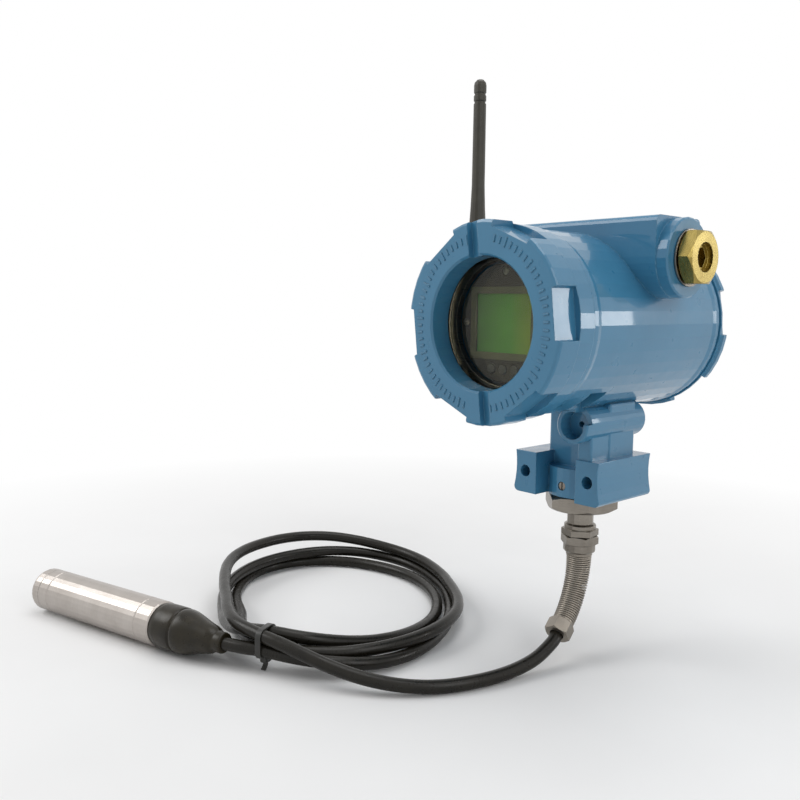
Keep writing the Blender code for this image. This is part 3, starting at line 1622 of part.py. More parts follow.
def lay_probe(item, from_boot_end):
    """Lay a piece on the probe's axis: local Z points from the nose to the boot's end."""
    heading = math.radians(PROBE_HEADING_DEG)
    away = Vector((math.cos(heading), math.sin(heading), 0))
    item.location = Vector((BOOT_X, BOOT_Y, PROBE_AXIS_Z)) - away * from_boot_end
    item.rotation_euler = away.to_track_quat("Z", "Y").to_euler()
    return item


def make_probe():
    """Stainless probe: nose cap with its port, tube with turned grooves, sensing cell, board and boot."""
    steel = (PROBE_STEEL, 0.24, 1.0)
    radius = PROBE_RADIUS
    nose_at = BOOT_LENGTH + GAP + PROBE_LENGTH
    body_start = PROBE_NOSE_LENGTH + GAP
    nose = turned(
        "probe_nose_cap",
        [
            (PROBE_PORT_RADIUS, 0.0),
            (radius - PROBE_EDGE, 0.0),
            (radius - PROBE_EDGE * 0.3, PROBE_EDGE * 0.3),
            (radius, PROBE_EDGE),
            (radius, PROBE_NOSE_LENGTH),
            (PROBE_BORE - SLIP, PROBE_NOSE_LENGTH),
            (PROBE_BORE - SLIP, PROBE_NOSE_LENGTH + PROBE_SPIGOT),
            (PROBE_BORE - 0.0030, PROBE_NOSE_LENGTH + PROBE_SPIGOT),
            (PROBE_BORE - 0.0030, PROBE_NOSE_LENGTH - 0.0020),
            (PROBE_PORT_RADIUS, PROBE_NOSE_LENGTH - 0.0020),
        ],
        steel,
        MEDIUM,
        ring=True,
    )
    smooth(lay_probe(nose, nose_at))
    groove = PROBE_GROOVE
    first = body_start + PROBE_GROOVE_AT
    last = PROBE_LENGTH - PROBE_REAR_GROOVE_AT
    body = turned(
        "probe_tube",
        [
            (radius, body_start),
            (radius, first - groove),
            (radius - groove, first),
            (radius, first + groove),
            (radius, last - groove),
            (radius - groove, last),
            (radius, last + groove),
            (radius, PROBE_LENGTH - EDGE),
            (radius - EDGE, PROBE_LENGTH),
            (PROBE_BORE, PROBE_LENGTH),
            (PROBE_BORE, body_start),
        ],
        steel,
        MEDIUM,
        ring=True,
    )
    smooth(lay_probe(body, nose_at))
    cell_start = body_start + PROBE_SPIGOT
    cell = turned(
        "sensing_cell",
        [
            (0, cell_start + BEVEL),
            (PROBE_BORE - 0.0040, cell_start + BEVEL),
            (PROBE_BORE - 0.0032, cell_start),
            (PROBE_BORE - SLIP, cell_start),
            (PROBE_BORE - SLIP, cell_start + CELL_LENGTH),
            (0, cell_start + CELL_LENGTH),
        ],
        steel,
        SMALL,
    )
    lay_probe(cell, nose_at)
    board_start = cell_start + CELL_LENGTH + GAP
    half_width = math.sqrt(PROBE_BORE**2 - (BOARD_THICKNESS / 2) ** 2) - SLIP
    board = box(
        "probe_board",
        (-half_width, -BOARD_THICKNESS / 2, board_start),
        (half_width, BOARD_THICKNESS / 2, board_start + PROBE_BOARD_LENGTH),
        (BOARD_GREEN, 0.5),
    )
    lay_probe(board, nose_at)

    sleeve = radius - 0.0003
    boot = turned(
        "probe_boot",
        [
            (0, -PROBE_SPIGOT),
            (PROBE_BORE - SLIP, -PROBE_SPIGOT),
            (PROBE_BORE - SLIP, 0),
            (sleeve, 0),
            (sleeve, BOOT_SLEEVE - 0.0012),
            (sleeve - EDGE, BOOT_SLEEVE - 0.0006),
            (sleeve - EDGE, BOOT_SLEEVE),
            (sleeve, BOOT_SLEEVE + EDGE),
            (sleeve - 0.0004, BOOT_SLEEVE + 0.0050),
            (BOOT_BULGE_RADIUS, BOOT_SLEEVE + 0.0100),
            (BOOT_WAIST_RADIUS, BOOT_LENGTH - BOOT_COLLAR - 0.0040),
            (BOOT_END_RADIUS, BOOT_LENGTH - BOOT_COLLAR),
            (BOOT_END_RADIUS, BOOT_LENGTH - EDGE),
            (BOOT_END_RADIUS - EDGE, BOOT_LENGTH),
            (0, BOOT_LENGTH),
        ],
        (BLACK, 0.45),
        MEDIUM,
    )
    smooth(lay_probe(boot, BOOT_LENGTH))


make_housing()
make_front_cover()
make_rear_cover()
make_seal_rings()
make_window()
make_display()
make_main_board()
make_battery()
make_terminals()
make_plug()
make_antenna()
make_lock_screw()
make_gland()
make_guard()
make_ferrule()
make_cable()
make_tie()
make_probe()
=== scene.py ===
"""Looks of the water level sensor: finishes, the cable at its real length, the studio and the camera.

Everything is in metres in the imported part's frame: +Z up, the display looks along -Y.
"""

import math

import bmesh
import bpy
from mathutils import Matrix, Vector


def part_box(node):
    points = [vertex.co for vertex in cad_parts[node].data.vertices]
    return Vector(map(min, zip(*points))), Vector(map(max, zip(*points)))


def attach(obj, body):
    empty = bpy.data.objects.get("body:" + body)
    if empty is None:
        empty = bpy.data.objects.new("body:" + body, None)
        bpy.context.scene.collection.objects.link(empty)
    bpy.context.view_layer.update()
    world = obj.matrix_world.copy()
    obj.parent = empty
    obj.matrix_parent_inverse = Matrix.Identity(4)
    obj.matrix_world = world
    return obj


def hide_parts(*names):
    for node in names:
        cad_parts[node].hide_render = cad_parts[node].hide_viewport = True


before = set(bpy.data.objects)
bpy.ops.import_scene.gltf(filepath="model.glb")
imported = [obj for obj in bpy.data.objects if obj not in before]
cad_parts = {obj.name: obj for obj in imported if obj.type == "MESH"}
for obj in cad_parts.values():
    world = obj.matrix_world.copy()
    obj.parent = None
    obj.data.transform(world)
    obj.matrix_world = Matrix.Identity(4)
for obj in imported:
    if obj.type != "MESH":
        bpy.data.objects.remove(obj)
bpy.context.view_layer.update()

# Height of the ground that the cable and the probe lie on: the probe's lowest point
GROUND_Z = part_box("probe_tube")[0].z


# Camera, worked out from the circles of the covers in the photograph

IMAGE_SIZE = 800
SENSOR_MM = 36.0
FOCAL_PIXELS = 838.0
CAMERA_PLACE = (0.2926, -0.4320, 0.0998)
CAMERA_AZIMUTH_DEG = 48.26
CAMERA_DOWN_DEG = 6.83
CAMERA_ROLL_DEG = 0.6


def make_camera():
    """The photograph's camera: level with the head, a little above it, looking to its left."""
    azimuth = math.radians(CAMERA_AZIMUTH_DEG)
    down = math.radians(CAMERA_DOWN_DEG)
    roll = math.radians(CAMERA_ROLL_DEG)
    forward = Vector((
        -math.sin(azimuth) * math.cos(down),
        math.cos(azimuth) * math.cos(down),
        -math.sin(down),
    ))
    level = Vector((math.cos(azimuth), math.sin(azimuth), 0.0))
    above = level.cross(forward)
    right = level * math.cos(roll) + above * math.sin(roll)
    up = above * math.cos(roll) - level * math.sin(roll)
    turn = Matrix((right, up, -forward)).transposed().to_4x4()

    data = bpy.data.cameras.new("camera")
    data.sensor_width = SENSOR_MM
    data.lens = FOCAL_PIXELS / IMAGE_SIZE * SENSOR_MM
    data.clip_start = 0.01
    data.clip_end = 50.0
    camera = bpy.data.objects.new("camera", data)
    bpy.context.scene.collection.objects.link(camera)
    camera.matrix_world = Matrix.Translation(CAMERA_PLACE) @ turn
    bpy.context.scene.camera = camera


make_camera()


# Cable: the route of the free cable. It starts at the ferrule and ends in the boot, where the part's own
# stand-in for it does. Between them it keeps near that one, but its strands lie and rise as in the photo.

CABLE_DIAMETER = 0.0075
RING_CENTRE = (-0.1450, -0.0995)

# Where the tie holds the turns, round the ring's centre
TIE_SIDE_DEG = -59.8
TURN_STEP_DEG = 12
SMOOTH_STEPS = 5
CABLE_ROUNDNESS = 6

# Where the cable comes out of the ferrule
CABLE_EXIT = (0.0051, -0.0516, -0.0927)

# From the ferrule down to the ground, and up to the tie
LEAD_POINTS = [
    (0.0062, -0.0575, -0.0958),
    (0.0064, -0.0714, -0.1008),
    (0.0049, -0.0865, -0.1034),
    (0.0022, -0.1016, -0.1043),
    (-0.0019, -0.1165, -0.1044),
    (-0.0081, -0.1306, -0.1044),
    (-0.0163, -0.1435, -0.1036),
    (-0.0263, -0.1551, -0.1018),
    (-0.0378, -0.1650, -0.0992),
    (-0.0504, -0.1732, -0.0959),
    (-0.0638, -0.1798, -0.0923),
    (-0.0779, -0.1851, -0.0893),
]

# The loose turns, set over the photograph's strands and apart from each other:
# degrees round from the tie, then millimetres from the ring's centre and over the ground
TURN_KEYS = [
    [
        (0, 104.5, 21), (12, 98, 22.5), (35, 78.5, 23), (65, 72.5, 24), (110, 85, 25), (150, 97.5, 22.5),
        (190, 95, 14), (220, 84.5, 12), (245, 80.5, 12), (285, 90, 12), (315, 95, 11), (340, 98, 10.5),
        (352, 98.5, 12),
    ],
    [
        (0, 97, 12.5), (10, 89.5, 10), (22, 77.5, 7.5), (50, 63.5, 5), (85, 71, 4), (125, 91, 4),
        (150, 92, 4), (190, 80, 4), (235, 70.5, 4), (280, 71.5, 4), (325, 82.5, 9.5), (350, 95.5, 18.5),
    ],
    [
        (0, 97, 20.5), (12, 92.5, 17), (22, 85.5, 12), (50, 74.5, 7), (80, 75.5, 10), (125, 85, 12),
        (160, 94, 11), (185, 96.5, 7), (220, 84, 4), (250, 78.5, 4), (280, 83, 4), (305, 94, 4),
        (320, 102, 5), (335, 106, 8), (350, 105.5, 11),
    ],
]

# The cable just before the first turn, and where the last one ends and just after that
BEFORE_TURNS = (-8, 109, 18.9)
AFTER_TURNS = [(0, 104.5, 12.7), (6, 106.5, 13.2)]

# From the tie to the probe's boot
TAIL_POINTS = [
    (-0.0923, -0.1901, -0.0955),
    (-0.1017, -0.1968, -0.0950),
    (-0.1120, -0.2020, -0.0947),
]


def ring_point(along_deg, radius_mm, height_mm):
    """A point of the loose turns, clockwise from the tie as seen from above."""
    angle = math.radians(TIE_SIDE_DEG - along_deg)
    reach = radius_mm / 1000
    return (
        RING_CENTRE[0] + reach * math.cos(angle),
        RING_CENTRE[1] + reach * math.sin(angle),
        GROUND_Z + height_mm / 1000,
    )


def between_keys(before, here, there, after, along):
    """Radius and height at one place between two keys, on a smooth line that follows their neighbours."""
    span = there[0] - here[0]
    t = (along - here[0]) / span
    values = []
    for item in (1, 2):
        start_slope = (there[item] - before[item]) / (there[0] - before[0]) * span
        end_slope = (after[item] - here[item]) / (after[0] - here[0]) * span
        values.append(
            (2 * t**3 - 3 * t**2 + 1) * here[item]
            + (t**3 - 2 * t**2 + t) * start_slope
            + (3 * t**2 - 2 * t**3) * there[item]
            + (t**3 - t**2) * end_slope
        )
    return values


def turn_points():
    """The turns' points at even steps, on a smooth line through their keys."""
    keys = [BEFORE_TURNS]
    for index, turn in enumerate(TURN_KEYS + [AFTER_TURNS]):
        keys += [(along + 360 * index, radius, height) for along, radius, height in turn]
    points = []
    for before, here, there, after in zip(keys, keys[1:], keys[2:], keys[3:]):
        along = math.ceil(here[0] / TURN_STEP_DEG) * TURN_STEP_DEG
        while along < there[0]:
            points.append(ring_point(along, *between_keys(before, here, there, after, along)))
            along += TURN_STEP_DEG
    return points


def cable_route():
    return [CABLE_EXIT] + LEAD_POINTS + turn_points() + TAIL_POINTS


def smooth_route(points, steps):
    """A finer line on a smooth curve through the given points."""
    ends = [
        [2 * a - b for a, b in zip(points[0], points[1])],
        *points,
        [2 * a - b for a, b in zip(points[-1], points[-2])],
    ]
    route = []
    for before, here, there, after in zip(ends, ends[1:], ends[2:], ends[3:]):
        for index in range(steps):
            t = index / steps
            route.append(tuple(
                0.5
                * (
                    2 * q
                    + (r - p) * t
                    + (2 * p - 5 * q + 4 * r - s) * t**2
                    + (3 * q - p - 3 * r + s) * t**3
                )
                for p, q, r, s in zip(before, here, there, after)
            ))
    route.append(tuple(points[-1]))
    return route


def link(item):
    bpy.context.scene.collection.objects.link(item)
    return item


def tube_along(name, route, radius, roundness):
    """A mesh tube of one radius along the route, with closed ends."""
    curve = bpy.data.curves.new(name + "_line", "CURVE")
    curve.dimensions = "3D"
    curve.bevel_depth = radius
    curve.bevel_resolution = roundness
    curve.use_fill_caps = True
    spline = curve.splines.new("POLY")
    spline.points.add(len(route) - 1)
    for point, place in zip(spline.points, route):
        point.co = (*place, 1.0)
    line = link(bpy.data.objects.new(name + "_line", curve))
    bpy.context.view_layer.update()
    data = bpy.data.meshes.new_from_object(line.evaluated_get(bpy.context.evaluated_depsgraph_get()))
    bpy.data.objects.remove(line)
    data.shade_smooth()
    data.set_sharp_from_angle(angle=math.radians(50))
    return link(bpy.data.objects.new(name, data))


def make_cable():
    route = smooth_route(cable_route(), SMOOTH_STEPS)
    cable = tube_along("cable", route, CABLE_DIAMETER / 2, CABLE_ROUNDNESS)
    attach(cable, "housing")
    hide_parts("cable_lead", "cable_loop", "cable_tail")
    return cable


# Tie round the four strands, with its head under them

TIE_MIDDLE = Vector((-0.0940, -0.1864, GROUND_Z + 0.0166))
TIE_HEADING = Vector((0.906, 0.423, 0.0)).normalized()
TIE_HALF = 0.0076
TIE_BAND_WIDTH = 0.0034
TIE_BAND_THICKNESS = 0.0010
TIE_CORNER = 0.0036
CORNER_STEPS = 6

# Its head, and how far it is sunk into the band
TIE_HEAD_SIZE = (0.0048, 0.0056, 0.0042)
TIE_HEAD_SUNK = 0.0006
TIE_HEAD_BEVEL = 0.0006

# Its cut tail, a row of short links that bend away and thicken towards the cut
TIE_TAIL_LINKS = 5
TIE_TAIL_REACH = 0.003744
TIE_TAIL_SUNK = 0.0010
TIE_TAIL_BEND = 0.0030
TIE_LINK_WIDTH = 0.00306
TIE_LINK_LENGTH = 0.001144
TIE_LINK_THICKNESS = 0.0012
TIE_LINK_GROWTH = 0.0003
TIE_LINK_BEVEL = 0.0003


def tie_frame():
    """The tie's own axes: along the strands, across them, and up."""
    across = Vector((0, 0, 1)).cross(TIE_HEADING)
    turn = Matrix((TIE_HEADING, across, Vector((0, 0, 1)))).transposed().to_4x4()
    return Matrix.Translation(TIE_MIDDLE) @ turn


def round_square(half, corner):
    """Points of a square with round corners, about its middle."""
    points = []
    for quarter, (side, top) in enumerate(((1, 1), (-1, 1), (-1, -1), (1, -1))):
        for step in range(CORNER_STEPS + 1):
            angle = math.radians(90 * quarter + 90 * step / CORNER_STEPS)
            points.append((
                side * (half - corner) + corner * math.cos(angle),
                top * (half - corner) + corner * math.sin(angle),
            ))
    return points


def bevel_all(mesh, width, segments):
    bmesh.ops.bevel(
        mesh, geom=list(mesh.edges), offset=width, segments=segments, affect="EDGES", clamp_overlap=True
    )


def mesh_object(name, mesh, angle_deg=35):
    data = bpy.data.meshes.new(name)
    bmesh.ops.recalc_face_normals(mesh, faces=mesh.faces)
    mesh.to_mesh(data)
    mesh.free()
    item = link(bpy.data.objects.new(name, data))
    data.shade_smooth()
    data.set_sharp_from_angle(angle=math.radians(angle_deg))
    return item


def join_mesh(mesh, other):
    """Copy the other mesh into the first one, and free the other."""
    part = bpy.data.meshes.new("part")
    other.to_mesh(part)
    other.free()
    mesh.from_mesh(part)
    bpy.data.meshes.remove(part)


def add_block(mesh, size, middle, bevel, segments=2):
    """A block with rounded edges, joined into the mesh."""
    block = bmesh.new()
    bmesh.ops.create_cube(block, size=1.0)
    bmesh.ops.scale(block, vec=size, verts=block.verts)
    bevel_all(block, bevel, segments)
    bmesh.ops.translate(block, vec=middle, verts=block.verts)
    join_mesh(mesh, block)


def add_tie_band(mesh):
    """The band: a round square with a flat section, closed on itself."""
    inner = round_square(TIE_HALF, TIE_CORNER)
    outer = round_square(TIE_HALF + TIE_BAND_THICKNESS, TIE_CORNER + TIE_BAND_THICKNESS)
    side = TIE_BAND_WIDTH / 2
    rings = []
    for outline, along in ((inner, -side), (outer, -side), (outer, side), (inner, side)):
        rings.append([mesh.verts.new((along, across, up)) for across, up in outline])
    count = len(outer)
    for here, there in zip(rings, rings[1:] + rings[:1]):
        for step in range(count):
            onward = (step + 1) % count
            mesh.faces.new((here[step], here[onward], there[onward], there[step]))


def add_tie_head(mesh):
    """The head under the band, and the short tail that sticks out of it."""
    head_up = TIE_HEAD_SUNK - TIE_HALF - TIE_BAND_THICKNESS - TIE_HEAD_SIZE[2] / 2
    add_block(mesh, TIE_HEAD_SIZE, (0, 0, head_up), TIE_HEAD_BEVEL)
    tail_top = head_up - TIE_HEAD_SIZE[2] / 2
    previous = (0.0, tail_top + TIE_TAIL_SUNK)
    for link_index in range(TIE_TAIL_LINKS):
        share = (link_index + 1) / TIE_TAIL_LINKS
        onward = (-TIE_TAIL_BEND * share**2, tail_top - TIE_TAIL_REACH * share)
        middle = (0, (previous[0] + onward[0]) / 2, (previous[1] + onward[1]) / 2)
        size = (TIE_LINK_WIDTH, TIE_LINK_THICKNESS + TIE_LINK_GROWTH * share, TIE_LINK_LENGTH)
        add_block(mesh, size, middle, TIE_LINK_BEVEL, 1)
        previous = onward


def make_tie():
    mesh = bmesh.new()
    add_tie_band(mesh)
    add_tie_head(mesh)
    mesh.transform(tie_frame())
    tie = mesh_object("tie", mesh)
    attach(tie, "housing")
    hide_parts("cable_tie")
    return tie


tie = make_tie()
cable = make_cable()


# Spring guard: a close helix of round wire that narrows along its bend

GUARD_WIRE_RADIUS = 0.00064
GUARD_PITCH = 0.00145
GUARD_STRAIGHT = 0.0010
GUARD_BEND_RADIUS = 0.0435
GUARD_BEND_DEG = 56.0
GUARD_HEADING_DEG = -79.0
GUARD_RADII = (0.0075, 0.0064)
GUARD_STEPS_A_TURN = 24
GUARD_ROUNDNESS = 2

# It hangs under the middle of the neck
NECK_MIDDLE = (0.0, -0.0256)
GUARD_START = Vector((*NECK_MIDDLE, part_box("spiral_guard")[1].z))


def guard_point(length):
    """A point of the guard's middle line, the line's direction there, and the way across it."""
    heading = math.radians(GUARD_HEADING_DEG)
    side = Vector((math.cos(heading), math.sin(heading), 0))
    down = Vector((0, 0, -1))
    if length < GUARD_STRAIGHT:
        return GUARD_START + down * length, down, side
    angle = (length - GUARD_STRAIGHT) / GUARD_BEND_RADIUS
    middle = GUARD_START + down * (GUARD_STRAIGHT + GUARD_BEND_RADIUS * math.sin(angle))
    middle += side * GUARD_BEND_RADIUS * (1 - math.cos(angle))
    direction = side * math.sin(angle) + down * math.cos(angle)
    return middle, direction, side * math.cos(angle) - down * math.sin(angle)


def guard_route():
    """The wire's line: one flat turn, the close turns down the bend, and one flat turn."""
    total = GUARD_STRAIGHT + GUARD_BEND_RADIUS * math.radians(GUARD_BEND_DEG)
    first = GUARD_WIRE_RADIUS
    last = total - GUARD_WIRE_RADIUS
    turns = (last - first) / GUARD_PITCH
    steps = round((turns + 2) * GUARD_STEPS_A_TURN)
    route = []
    for index in range(steps + 1):
        turned = (turns + 2) * index / steps
        share = min(1.0, max(0.0, (turned - 1) / turns))
        middle, direction, across = guard_point(first + (last - first) * share)
        radius = GUARD_RADII[0] + (GUARD_RADII[1] - GUARD_RADII[0]) * share - GUARD_WIRE_RADIUS
        angle = 2 * math.pi * turned
        outward = across * math.cos(angle) + direction.cross(across) * math.sin(angle)
        route.append(middle + outward * radius)
    return route


def make_guard():
    guard = tube_along("guard_spring", guard_route(), GUARD_WIRE_RADIUS, GUARD_ROUNDNESS)
    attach(guard, "housing")
    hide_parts("spiral_guard")
    return guard


guard = make_guard()


# Boot behind the probe: a moulded sleeve that swells, narrows and ends in a collar

BOOT_END = TAIL_POINTS[-1][:2]
BOOT_LENGTH = 0.0500
PROBE_HEADING_DEG = 15.5
PROBE_RADIUS = 0.0135
BOOT_SEGMENTS = 72

# Two crossing waves leave the soft part of the boot, which is wider than the stiff collar, a little uneven:
# each has its crests round the axis, and the radians by which they turn in a metre along it
BOOT_WAVE_DEPTH = 0.00018
BOOT_WAVES = ((3, 260), (2, 90))
BOOT_SOFT_FROM = 0.008

# Radius, and how far along from the steel tube
BOOT_PROFILE = [
    (0.0, 0.0),
    (0.0126, 0.0),
    (0.0131, 0.0006),
    (0.0132, 0.0040),
    (0.0132, 0.0100),
    (0.0132, 0.0150),
    (0.0130, 0.0157),
    (0.0124, 0.0162),
    (0.0124, 0.0168),
    (0.0130, 0.0174),
    (0.0131, 0.0190),
    (0.0128, 0.0215),
    (0.0121, 0.0245),
    (0.0111, 0.0280),
    (0.0100, 0.0320),
    (0.0090, 0.0360),
    (0.0083, 0.0395),
    (0.0076, 0.0418),
    (0.0068, 0.0432),
    (0.0061, 0.0440),
    (0.0060, 0.0450),
    (0.0060, 0.0488),
    (0.0058, 0.0496),
    (0.0052, 0.0500),
    (0.0, 0.0500),
]


def boot_dent(radius, angle, height):
    """How far the boot's skin is sunk at one place."""
    if radius <= BOOT_SOFT_FROM:
        return 0.0
    wave = BOOT_WAVE_DEPTH
    for crests, twist in BOOT_WAVES:
        wave *= math.sin(crests * angle + twist * height)
    return min(0.0, wave)


def boot_mesh():
    """The boot turned about Z from its profile, with closed ends."""
    mesh = bmesh.new()
    rings = []
    for radius, height in BOOT_PROFILE:
        if radius == 0:
            rings.append([mesh.verts.new((0, 0, height))])
            continue
        ring = []
        for step in range(BOOT_SEGMENTS):
            angle = 2 * math.pi * step / BOOT_SEGMENTS
            reach = radius + boot_dent(radius, angle, height)
            ring.append(mesh.verts.new((reach * math.cos(angle), reach * math.sin(angle), height)))
        rings.append(ring)
    for here, there in zip(rings, rings[1:]):
        for step in range(BOOT_SEGMENTS):
            onward = (step + 1) % BOOT_SEGMENTS
            if len(here) == 1:
                mesh.faces.new((here[0], there[onward], there[step]))
            elif len(there) == 1:
                mesh.faces.new((here[step], here[onward], there[0]))
            else:
                mesh.faces.new((here[step], here[onward], there[onward], there[step]))
    return mesh


def make_boot():
    boot = mesh_object("boot", boot_mesh(), 50)
    heading = math.radians(PROBE_HEADING_DEG)
    away = Vector((math.cos(heading), math.sin(heading), 0))
    start = Vector((*BOOT_END, GROUND_Z + PROBE_RADIUS)) - away * BOOT_LENGTH
    turn = away.to_track_quat("Z", "Y").to_matrix().to_4x4()
    boot.data.transform(Matrix.Translation(start) @ turn)
    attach(boot, "housing")
    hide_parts("probe_boot")
    return boot


boot = make_boot()


# Raised ticks round the front cover's face, where the real one has raised words

COVER_FACE_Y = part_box("front_cover")[0].y
COVER_MIDDLE = (0.0, 0.088)
TICK_RADIUS = 0.0434
TICK_STEP_DEG = 5.0
TICK_LENGTHS = (0.0036, 0.0052)
TICK_WIDTH = 0.0012
TICK_HEIGHT = 0.0005
TICK_SUNK = 0.0003
TICK_BEVEL = 0.0002

# One tick in five is a long one, and none stands near the slots at the top and the bottom
LONG_TICK_EVERY = 5
LONG_TICK_PLACE = 2
SLOT_GAP_DEG = 9.0


def add_tick(mesh, angle, length):
    """One tick on the cover's face, which points away from the cover's middle."""
    tick = bmesh.new()
    size = (length, TICK_HEIGHT + TICK_SUNK, TICK_WIDTH)
    add_block(tick, size, (0, (TICK_SUNK - TICK_HEIGHT) / 2, 0), TICK_BEVEL)
    outward = Vector((math.cos(angle), 0, math.sin(angle)))
    place = Vector((COVER_MIDDLE[0], COVER_FACE_Y, COVER_MIDDLE[1])) + outward * TICK_RADIUS
    tick.transform(Matrix.Translation(place) @ Matrix.Rotation(-angle, 4, "Y"))
    join_mesh(mesh, tick)


def make_ticks():
    mesh = bmesh.new()
    for index in range(round(360 / TICK_STEP_DEG)):
        from_slot = (index + 0.5) * TICK_STEP_DEG
        if min(from_slot % 180, 180 - from_slot % 180) < SLOT_GAP_DEG:
            continue
        length = TICK_LENGTHS[index % LONG_TICK_EVERY == LONG_TICK_PLACE]
        add_tick(mesh, math.radians(90 + from_slot), length)
    ticks = mesh_object("cover_ticks", mesh)
    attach(ticks, "front_cover")
    return ticks


ticks = make_ticks()


# Materials

# Rays that look for edges, and the cosines between which a surface goes from edge to flat
BEVEL_SAMPLES = 6
EDGE_TO_FLAT = (0.75, 0.98)


class Finish:
    """A node material that is built up step by step."""

    def __init__(self, name, metallic=0.0, roughness=0.5, coat=0.0, coat_roughness=0.1, specular=0.5):
        self.material = bpy.data.materials.new(name)
        self.material.use_nodes = True
        self.tree = self.material.node_tree
        self.tree.nodes.clear()
        self.output = self.add("OutputMaterial")
        self.shader = self.add("BsdfPrincipled")
        self.shader.inputs["Metallic"].default_value = metallic
        self.shader.inputs["Roughness"].default_value = roughness
        self.shader.inputs["Coat Weight"].default_value = coat
        self.shader.inputs["Coat Roughness"].default_value = coat_roughness
        self.shader.inputs["Specular IOR Level"].default_value = specular
        self.join(self.shader.outputs[0], self.output.inputs["Surface"])
        self.place = self.add("TexCoord").outputs["Object"]
        self.normal = None

    def add(self, kind):
        return self.tree.nodes.new("ShaderNode" + kind)

    def join(self, start, end):
        self.tree.links.new(start, end)

    def spaced(self, scale, turn_deg):
        """The piece's own coordinates, turned to lie along it and then stretched."""
        turned = self.add("Mapping")
        turned.vector_type = "TEXTURE"
        turned.inputs["Rotation"].default_value = [math.radians(x) for x in turn_deg]
        self.join(self.place, turned.inputs["Vector"])
        stretched = self.add("Mapping")
        stretched.inputs["Scale"].default_value = scale
        self.join(turned.outputs[0], stretched.inputs["Vector"])
        return stretched.outputs[0]

    def noise(self, scale, detail, rough=0.55, place=None):
        node = self.add("TexNoise")
        node.inputs["Scale"].default_value = scale
        node.inputs["Detail"].default_value = detail
        node.inputs["Roughness"].default_value = rough
        self.join(place or self.place, node.inputs["Vector"])
        return node.outputs["Fac"]

    def ramp(self, value, stops):
        node = self.add("ValToRGB")
        items = node.color_ramp.elements
        while len(items) < len(stops):
            items.new(0.5)
        for item, (position, colour) in zip(items, stops):
            item.position = position
            item.color = (*colour, 1.0)
        self.join(value, node.inputs["Fac"])
        return node.outputs["Color"]

    def span(self, value, low, high, start=0.3, end=0.7):
        """The value from start to end, spread from low to high."""
        node = self.add("MapRange")
        for name, number in (("From Min", start), ("From Max", end), ("To Min", low), ("To Max", high)):
            node.inputs[name].default_value = number
        self.join(value, node.inputs["Value"])
        return node.outputs["Result"]

    def reckon(self, operation, first, second):
        node = self.add("Math")
        node.operation = operation
        self.join(first, node.inputs[0])
        self.join(second, node.inputs[1])
        return node.outputs[0]

    def mix(self, share, first, second):
        """The first colour, and by the share the second one, which is written out."""
        node = self.add("Mix")
        node.data_type = "RGBA"
        self.join(share, node.inputs[0])
        self.join(first, node.inputs[6])
        node.inputs[7].default_value = (*second, 1.0)
        return node.outputs[2]

    def choose(self, share, first, second):
        """The surface shows the first shader, and by the share the second one."""
        node = self.add("MixShader")
        self.join(share, node.inputs[0])
        self.join(first, node.inputs[1])
        self.join(second, node.inputs[2])
        self.join(node.outputs[0], self.output.inputs["Surface"])

    def round_edges(self, radius):
        """Edges that catch light as small rounds do."""
        node = self.add("Bevel")
        node.samples = BEVEL_SAMPLES
        node.inputs["Radius"].default_value = radius
        self.normal = node.outputs["Normal"]

    def edge_share(self, radius):
        """From 0 on a flat to 1 on an edge: how far a rounded normal turns from the true one."""
        bevel = self.add("Bevel")
        bevel.samples = BEVEL_SAMPLES
        bevel.inputs["Radius"].default_value = radius
        flat = self.add("NewGeometry").outputs["Normal"]
        product = self.add("VectorMath")
        product.operation = "DOT_PRODUCT"
        self.join(bevel.outputs["Normal"], product.inputs[0])
        self.join(flat, product.inputs[1])
        return self.span(product.outputs["Value"], 1.0, 0.0, *EDGE_TO_FLAT)

    def bump(self, value, depth, strength):
        node = self.add("Bump")
        node.inputs["Distance"].default_value = depth
        node.inputs["Strength"].default_value = strength
        self.join(value, node.inputs["Height"])
        if self.normal is not None:
            self.join(self.normal, node.inputs["Normal"])
        self.normal = node.outputs["Normal"]

    def done(self, colour, roughness):
        self.join(colour, self.shader.inputs["Base Color"])
        self.join(roughness, self.shader.inputs["Roughness"])
        if self.normal is not None:
            self.join(self.normal, self.shader.inputs["Normal"])
        return self.material


def paint():
    """Thick blue enamel on a casting: soft waves, a fine peel, specks, and a painted highlight along the
    edges.
    """
    made = Finish("blue_enamel", coat=0.65, coat_roughness=0.03, specular=0.2)
    made.round_edges(0.0007)
    broad = made.noise(14, 4)
    tint = made.ramp(broad, [(0.3, (0.040, 0.172, 0.300)), (0.7, (0.050, 0.205, 0.350))])
    specks = made.noise(2400, 2)
    tint = made.mix(made.span(specks, 0, 0.14, 0.62, 0.75), tint, (0.08, 0.25, 0.40))
    # Painted highlight: the enamel's edges are painted a lighter blue, broken up in patches by noise
    edge = made.edge_share(0.0009)
    highlight_breakup = made.span(made.noise(260, 4), 0.0, 0.55, 0.42, 0.6)
    tint = made.mix(made.reckon("MULTIPLY", edge, highlight_breakup), tint, (0.16, 0.36, 0.52))
    made.bump(made.noise(75, 3), 0.00022, 0.45)
    made.bump(made.noise(850, 2), 0.00003, 0.5)
    return made.done(tint, made.span(made.noise(120, 4), 0.26, 0.40))


def machined(name, dark, light, rough, scale, turn_deg=(0, 0, 0), depth=0.00002, edge=0.0004):
    """Turned or ground metal: fine marks across the piece's axis, a little staining."""
    made = Finish(name, metallic=1.0)
    made.round_edges(edge)
    marks = made.noise(1, 4, 0.7, made.spaced(scale, turn_deg))
    tint = made.ramp(made.noise(55, 5, 0.6), [(0.3, dark), (0.68, light)])
    tint = made.mix(made.span(marks, 0, 0.22), tint, [0.6 * x for x in dark])
    made.bump(marks, depth, 0.6)
    return made.done(tint, made.span(marks, *rough))


